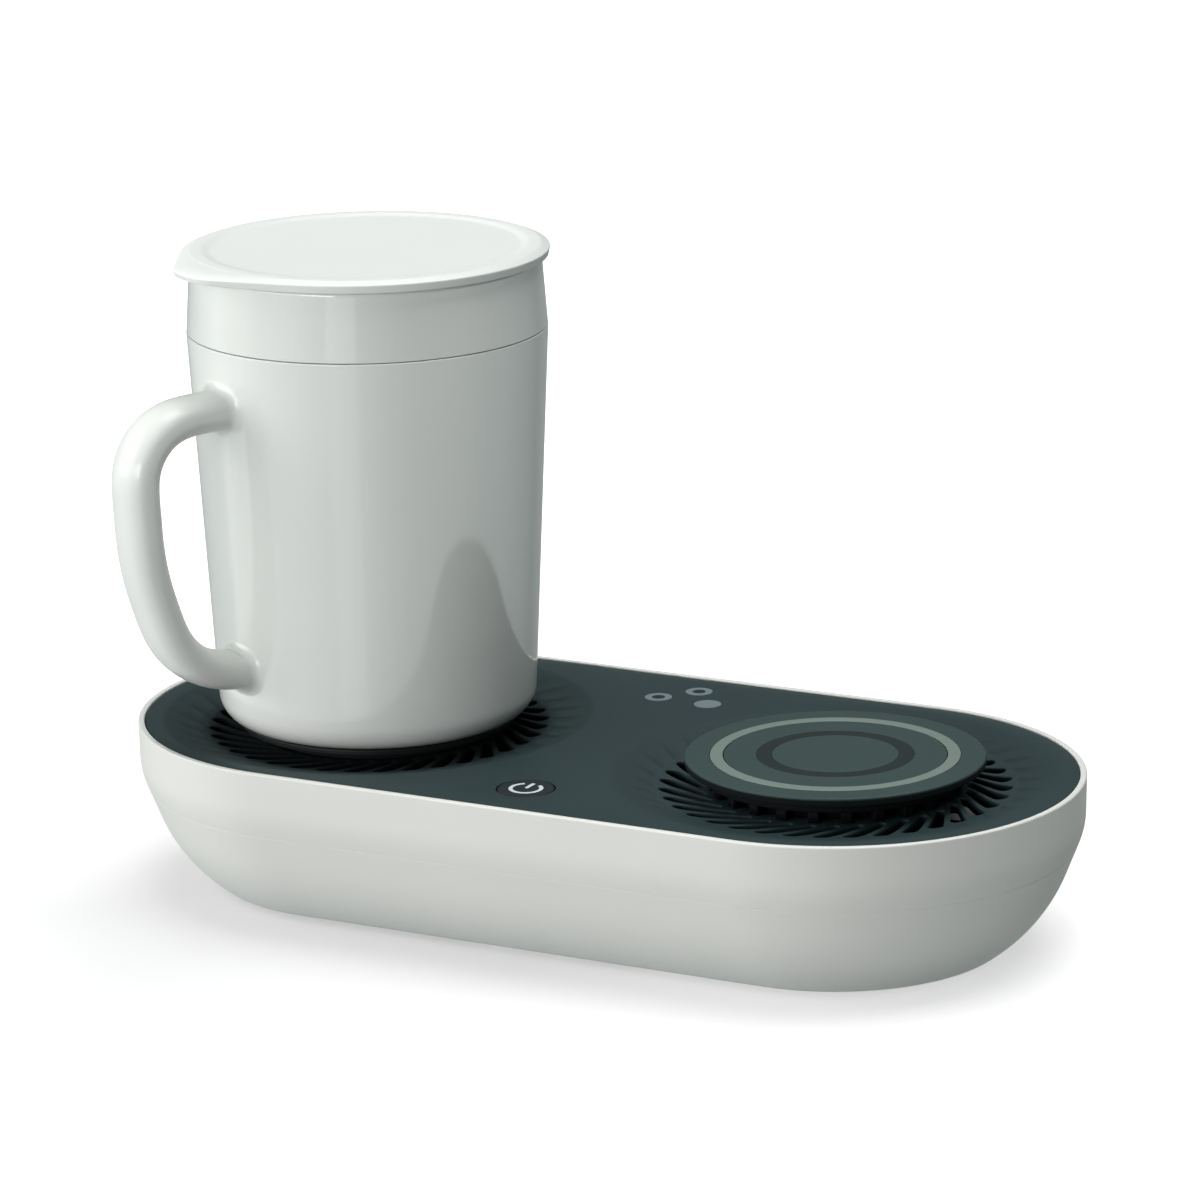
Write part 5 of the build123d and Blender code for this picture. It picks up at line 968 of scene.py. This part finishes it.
def glazed(name, coat_roughness, colour, shade):
    """Glossy plastic: a clear coat over faint clouds of colour, with the slight ripple of a moulded skin. The
    coat is thinner where the mesh is marked as worn."""
    finish = Finish(name, Coat_IOR=1.55, Coat_Roughness=coat_roughness, Specular_IOR_Level=0.3)
    clouds = finish.noise(18, 3)
    worn = finish.node("Attribute", {"attribute_name": "worn"}, {}, "Fac")
    return finish.set(
        Base_Color=finish.mix(clouds.step(0.3, 0.7), colour, shade),
        Coat_Weight=1.0 - worn * 0.65,
        Roughness=clouds * 0.05 + 0.38,
        Normal=finish.relief(finish.noise(420, 1), 0.000012, 0.35),
    )


def grip(at):
    """1 out along the handle, where hands have dulled the gloss, and 0 on the wall."""
    return (np.hypot(at[:, 0] + STATION, at[:, 1]) - wall_radius(at[:, 2] - SEAT) + 0.05) / 0.8


shell_finish = glazed("mug_gloss", 0.07, MUG_WHITE, MUG_SHADE)
handle_sheet = handle_rows()
mug_body = piece(
    "mug_body",
    [grid(turned(shell_outline, MUG_STATION, 256), True), grid(on_handle(handle_sheet), False, True)],
    shell_finish, "mug", "mug_shell",
)
mark(mug_body, "worn", grip)

SEAM_TOP, COLLAR_TOP, COLLAR_FOOT = SEAM_Z + SEAM_GAP, 151.4, 129.2
COLLAR_INNER_R, COLLAR_SKIRT_R = 38.0, 39.64  # its bore, and the skirt that the gasket goes round
collar_outline = rounded(
    [
        (COLLAR_INNER_R, COLLAR_FOOT), (COLLAR_SKIRT_R, COLLAR_FOOT), (COLLAR_SKIRT_R, SEAM_TOP),
        (42.4, SEAM_TOP), (41.3, COLLAR_TOP), (COLLAR_INNER_R, COLLAR_TOP),
    ],
    (0.1, 0.2, 0.1, 0.12, 0.6, 0.2), 6,
)
gasket_outline = rounded(
    [(COLLAR_SKIRT_R, SEAM_Z), (42.0, SEAM_Z), (42.0, SEAM_TOP), (COLLAR_SKIRT_R, SEAM_TOP)],
    (0, 0.09, 0.09, 0), 4,
)
collar_finish = glazed("collar_gloss", 0.05, (0.700, 0.714, 0.686, 1), (0.682, 0.696, 0.668, 1))
collar_sweep = grid(turned(collar_outline, MUG_STATION, 256), True)
piece("collar_ring", [collar_sweep], collar_finish, "mug", "mug_collar")
gasket_finish = moulded("grey_rubber", (0.10, 0.11, 0.11, 1), (0.12, 0.13, 0.13, 1), 0.7, 2600, 0.00002)
gasket_sweep = grid(turned(gasket_outline, MUG_STATION, 256), True)
piece("seam_gasket", [gasket_sweep], gasket_finish, "mug", "mug_gasket")

LINER_WALL, LINER_FOOT, LINER_FOOT_R = 0.8, 44.2, 32.4
LINER_MOUTH_R = COLLAR_INNER_R - LINER_WALL
liner_outline = rounded(
    [
        (0, LINER_FOOT), (LINER_FOOT_R, LINER_FOOT), (COLLAR_INNER_R, COLLAR_FOOT),
        (COLLAR_INNER_R, COLLAR_TOP), (LINER_MOUTH_R, COLLAR_TOP), (LINER_MOUTH_R, COLLAR_FOOT),
        (LINER_FOOT_R - LINER_WALL, LINER_FOOT + LINER_WALL), (0, LINER_FOOT + LINER_WALL),
    ],
    (0, 6.0, 8.0, 0.3, 0.3, 8.0, 5.2, 0), 10,
)
liner_finish = metal(
    "brushed_liner", (0.84, 0.84, 0.83, 1), (0.76, 0.76, 0.75, 1), 0.36, 500, (0.06, 0.06, 1), 0.00001,
)
liner_sweep = grid(turned(liner_outline, MUG_STATION), True)
piece("steel_liner", [liner_sweep], liner_finish, "mug", "mug_liner")
dress(liner_finish, "mug_base_disc")

# ---------------------------------------------------------------- lid
# The lid is satin white plastic: a thin flange over the collar, a step down to a shallow sunk disc, a thumb
# tab over the handle, and a skirt inside the mouth with a silicone seal in its groove.
TAB_ANGLE = math.radians(-117.5)
TAB_REACH, TAB_HALF_WIDTH = 49.3, 5.8
TAB_START_R, TAB_BLEND, TAB_RISE = 41.3, 0.9, 0.1
LID_R, LID_TOP = 43.3, 154.4
LID_SKIRT_R, LID_SKIRT_INNER_R, LID_SKIRT_FOOT = 36.6, 34.9, 144.4
LID_GROOVE_R, LID_GROOVE_TOP, LID_GROOVE_FOOT = 35.8, 147.8, 145.6
lid_outline = rounded(
    [
        (0, 154.0), (36.4, 154.0), (38.4, LID_TOP), (41.2, LID_TOP), (LID_R, 153.6), (LID_R - 0.4, 151.7),
        (41.8, COLLAR_TOP), (LID_SKIRT_R, COLLAR_TOP), (LID_SKIRT_R, LID_GROOVE_TOP),
        (LID_GROOVE_R, LID_GROOVE_TOP), (LID_GROOVE_R, LID_GROOVE_FOOT), (LID_SKIRT_R, LID_GROOVE_FOOT),
        (LID_SKIRT_R, LID_SKIRT_FOOT), (LID_SKIRT_INNER_R, LID_SKIRT_FOOT), (LID_SKIRT_INNER_R, 151.0),
        (0, 151.0),
    ],
    (0, 5.0, 5.0, 2.5, 0.35, 0.3, 0.1, 0.3, 0.1, 0, 0, 0.1, 0.3, 0.3, 0.5, 0), 8,
)


def tab_edge(turn):
    """How far the lid reaches, at an angle off the tab's middle: the soft minimum of a straight tip and of
    straight sides that touch the lid's round edge."""
    corner = math.hypot(TAB_REACH, TAB_HALF_WIDTH)
    touch = math.acos(LID_R / corner) + math.atan(TAB_HALF_WIDTH / TAB_REACH)
    near = np.minimum(turn, touch)
    tip, side = TAB_REACH / np.cos(near), LID_R / np.cos(touch - near)
    return -np.log(np.exp(-TAB_BLEND * tip) + np.exp(-TAB_BLEND * side)) / TAB_BLEND


lid_sheet = turned(lid_outline, (0, 0), 480)
lid_angle = np.arctan2(lid_sheet[..., 1], lid_sheet[..., 0])
lid_radius = np.hypot(lid_sheet[..., 0], lid_sheet[..., 1])
off_tab = np.abs((lid_angle - TAB_ANGLE + np.pi) % (2 * np.pi) - np.pi)
share = np.clip((lid_radius - TAB_START_R) / (LID_R - 1.2 - TAB_START_R), 0, 1)
beyond = share * (tab_edge(off_tab) - LID_R)
lid_sheet[..., 0] += beyond * np.cos(lid_angle) - STATION
lid_sheet[..., 1] += beyond * np.sin(lid_angle)
lid_sheet[..., 2] += TAB_RISE * beyond * (lid_sheet[..., 2] < LID_TOP - 2)
lid_finish = moulded("lid_satin", (0.80, 0.82, 0.80, 1), (0.78, 0.80, 0.78, 1), 0.40, 3600, 0.000012)
piece("lid_body", [grid(lid_sheet, True)], lid_finish, "lid", "lid_cap")
dress(silicone_finish, "lid_seal")

# ---------------------------------------------------------------- studio
# A plain pale floor, large softboxes on the left, in front and overhead, and a dim white room. The lamps
# stand far off, so that they light the floor evenly.
LAMP_DISTANCE, LAMP_POWER = 3.0, 5.4  # metres, and watts for a share of 1 at one metre


def softbox(name, bearing, height, size, share):
    """An area light aimed at the middle of the object from a bearing and height in degrees. Its power grows
    with the square of its distance, so that the share of light it gives doesn't depend on that."""
    light = bpy.data.lights.new(name, "AREA")
    light.shape = "RECTANGLE"
    light.size, light.size_y = size
    light.energy = LAMP_POWER * LAMP_DISTANCE ** 2 * share
    made = bpy.data.objects.new(name, light)
    bearing, height = math.radians(bearing), math.radians(height)
    out = (math.cos(bearing) * math.cos(height), math.sin(bearing) * math.cos(height), math.sin(height))
    target = (0.0, 0.0, 0.06)
    aim = Matrix.Rotation(bearing + math.pi / 2, 4, "Z") @ Matrix.Rotation(math.pi / 2 - height, 4, "X")
    made.matrix_world = Matrix.Translation([t + LAMP_DISTANCE * o for t, o in zip(target, out)]) @ aim
    bpy.context.scene.collection.objects.link(made)


softbox("left_box", -156, 18, (2.2, 2.0), 0.90)
softbox("side_box", -118, 11, (1.6, 0.9), 0.43)
softbox("front_box", -92, 11, (1.2, 0.9), 0.65)
softbox("top_box", 60, 80, (2.4, 2.4), 1.80)

world = bpy.data.worlds.new("studio")
bpy.context.scene.world = world
world.use_nodes = True
studio = Shading(world.node_tree)
ROOM = 0.13
ROOM_TINT, WHITE = (0.89, 1.0, 0.975, 1), (1, 1, 1, 1)


def wash(strength, colour):
    """Light of a given strength and colour from the room."""
    return studio.node("Background", {}, {"Color": colour, "Strength": strength})


def panel(bearing, half_width, blur):
    """1 where the room's walls hold a tall light panel at a bearing, and 0 beside it."""
    cos, sin = math.cos(math.radians(bearing)), math.sin(math.radians(bearing))
    across = north * cos - east * sin
    off = across.math("ARCTAN2", across, east * cos + north * sin)
    inner, outer = math.radians(half_width - blur), math.radians(half_width + blur)
    return 1 - off.math("ABSOLUTE", off).step(inner, outer)


look = studio.node("TexCoord", {}, {}, "Generated")
east, north, up = (studio.node("SeparateXYZ", {}, {"Vector": look}, axis) for axis in "XYZ")
# What glossy surfaces mirror: a ceiling that brightens upward, and below the horizon a room that darkens to
# the rear, with light panels on its walls, two of them only near the horizon, and a brighter ground
# underneath.
ceiling = up.step(0.05, 0.75) * 0.45 + 0.10
lower = 0.88 - north.step(-0.1, 0.8) * 0.50 + panel(-157, 19, 3) * 0.4 + panel(-77, 9.5, 1) * 0.6
far = up.step(-0.24, -0.16)
lower = lower + far * (panel(-145, 43, 12) * 0.5 + panel(-77, 9.5, 1) * 0.5)
lower = lower + panel(22, 36, 20) * 1.05
lower = lower + (1.0 - up.step(-0.75, -0.45)) * 0.4
sky = up.step(-0.01, 0.01)
mirrored = ceiling * sky + lower * (1 - sky)
rays = [studio.node("LightPath", {}, {}, f"Is {kind} Ray") for kind in ("Glossy", "Camera", "Transmission")]
unseen = studio.node("MixShader", {}, {0: rays[0], 1: wash(ROOM, ROOM_TINT), 2: wash(mirrored, ROOM_TINT)})
seen = rays[1].math("MAXIMUM", rays[1], rays[2])
studio.surface(studio.node("MixShader", {}, {0: seen, 1: unseen, 2: wash(1.0, WHITE)}))

# The floor takes the soft shadow. To the camera it also glows, more so away from the object, and stays white.
FLOOR_REACH, GLOW_MIDDLE = 6, (-0.05, -0.05, 0)
floor_finish = Finish("floor", Roughness=0.9, Specular_IOR_Level=0.1)
floor_grey = floor_finish.mix(floor_finish.noise(6), (0.565, 0.565, 0.565, 1), (0.555, 0.555, 0.555, 1))
floor_finish.set(Base_Color=floor_grey)
place = floor_finish.node("TexCoord", {}, {}, "Object")
away = floor_finish.node("VectorMath", {"operation": "SUBTRACT"}, {0: place, 1: GLOW_MIDDLE}, "Vector")
distance = floor_finish.node("VectorMath", {"operation": "LENGTH"}, {0: away}, "Value")
to_camera = floor_finish.node("LightPath", {}, {}, "Is Camera Ray")
glow_strength = to_camera * (distance.step(0.05, 0.40) * 0.62 + 0.38)
glow = floor_finish.node("Emission", {}, {"Color": WHITE, "Strength": glow_strength})
dim = floor_finish.node("BsdfDiffuse", {}, {"Color": (0.22, 0.22, 0.22, 1)})
lit = Value(floor_finish, floor_finish.shader.outputs[0])
bounce = floor_finish.node("LightPath", {}, {}, "Is Diffuse Ray")
matte = floor_finish.node("MixShader", {}, {0: bounce, 1: lit, 2: dim})
floor_finish.surface(floor_finish.node("AddShader", {}, {0: matte, 1: glow}))
floor_mesh = bpy.data.meshes.new("floor")
floor_corners = [(x * FLOOR_REACH, y * FLOOR_REACH, 0.0) for x, y in ((-1, -1), (1, -1), (1, 1), (-1, 1))]
floor_mesh.from_pydata(floor_corners, [], [(0, 1, 2, 3)])
floor_mesh.materials.append(floor_finish.material)
floor = bpy.data.objects.new("floor", floor_mesh)
floor.visible_glossy = False
bpy.context.scene.collection.objects.link(floor)

bpy.context.scene.view_settings.view_transform = "Standard"
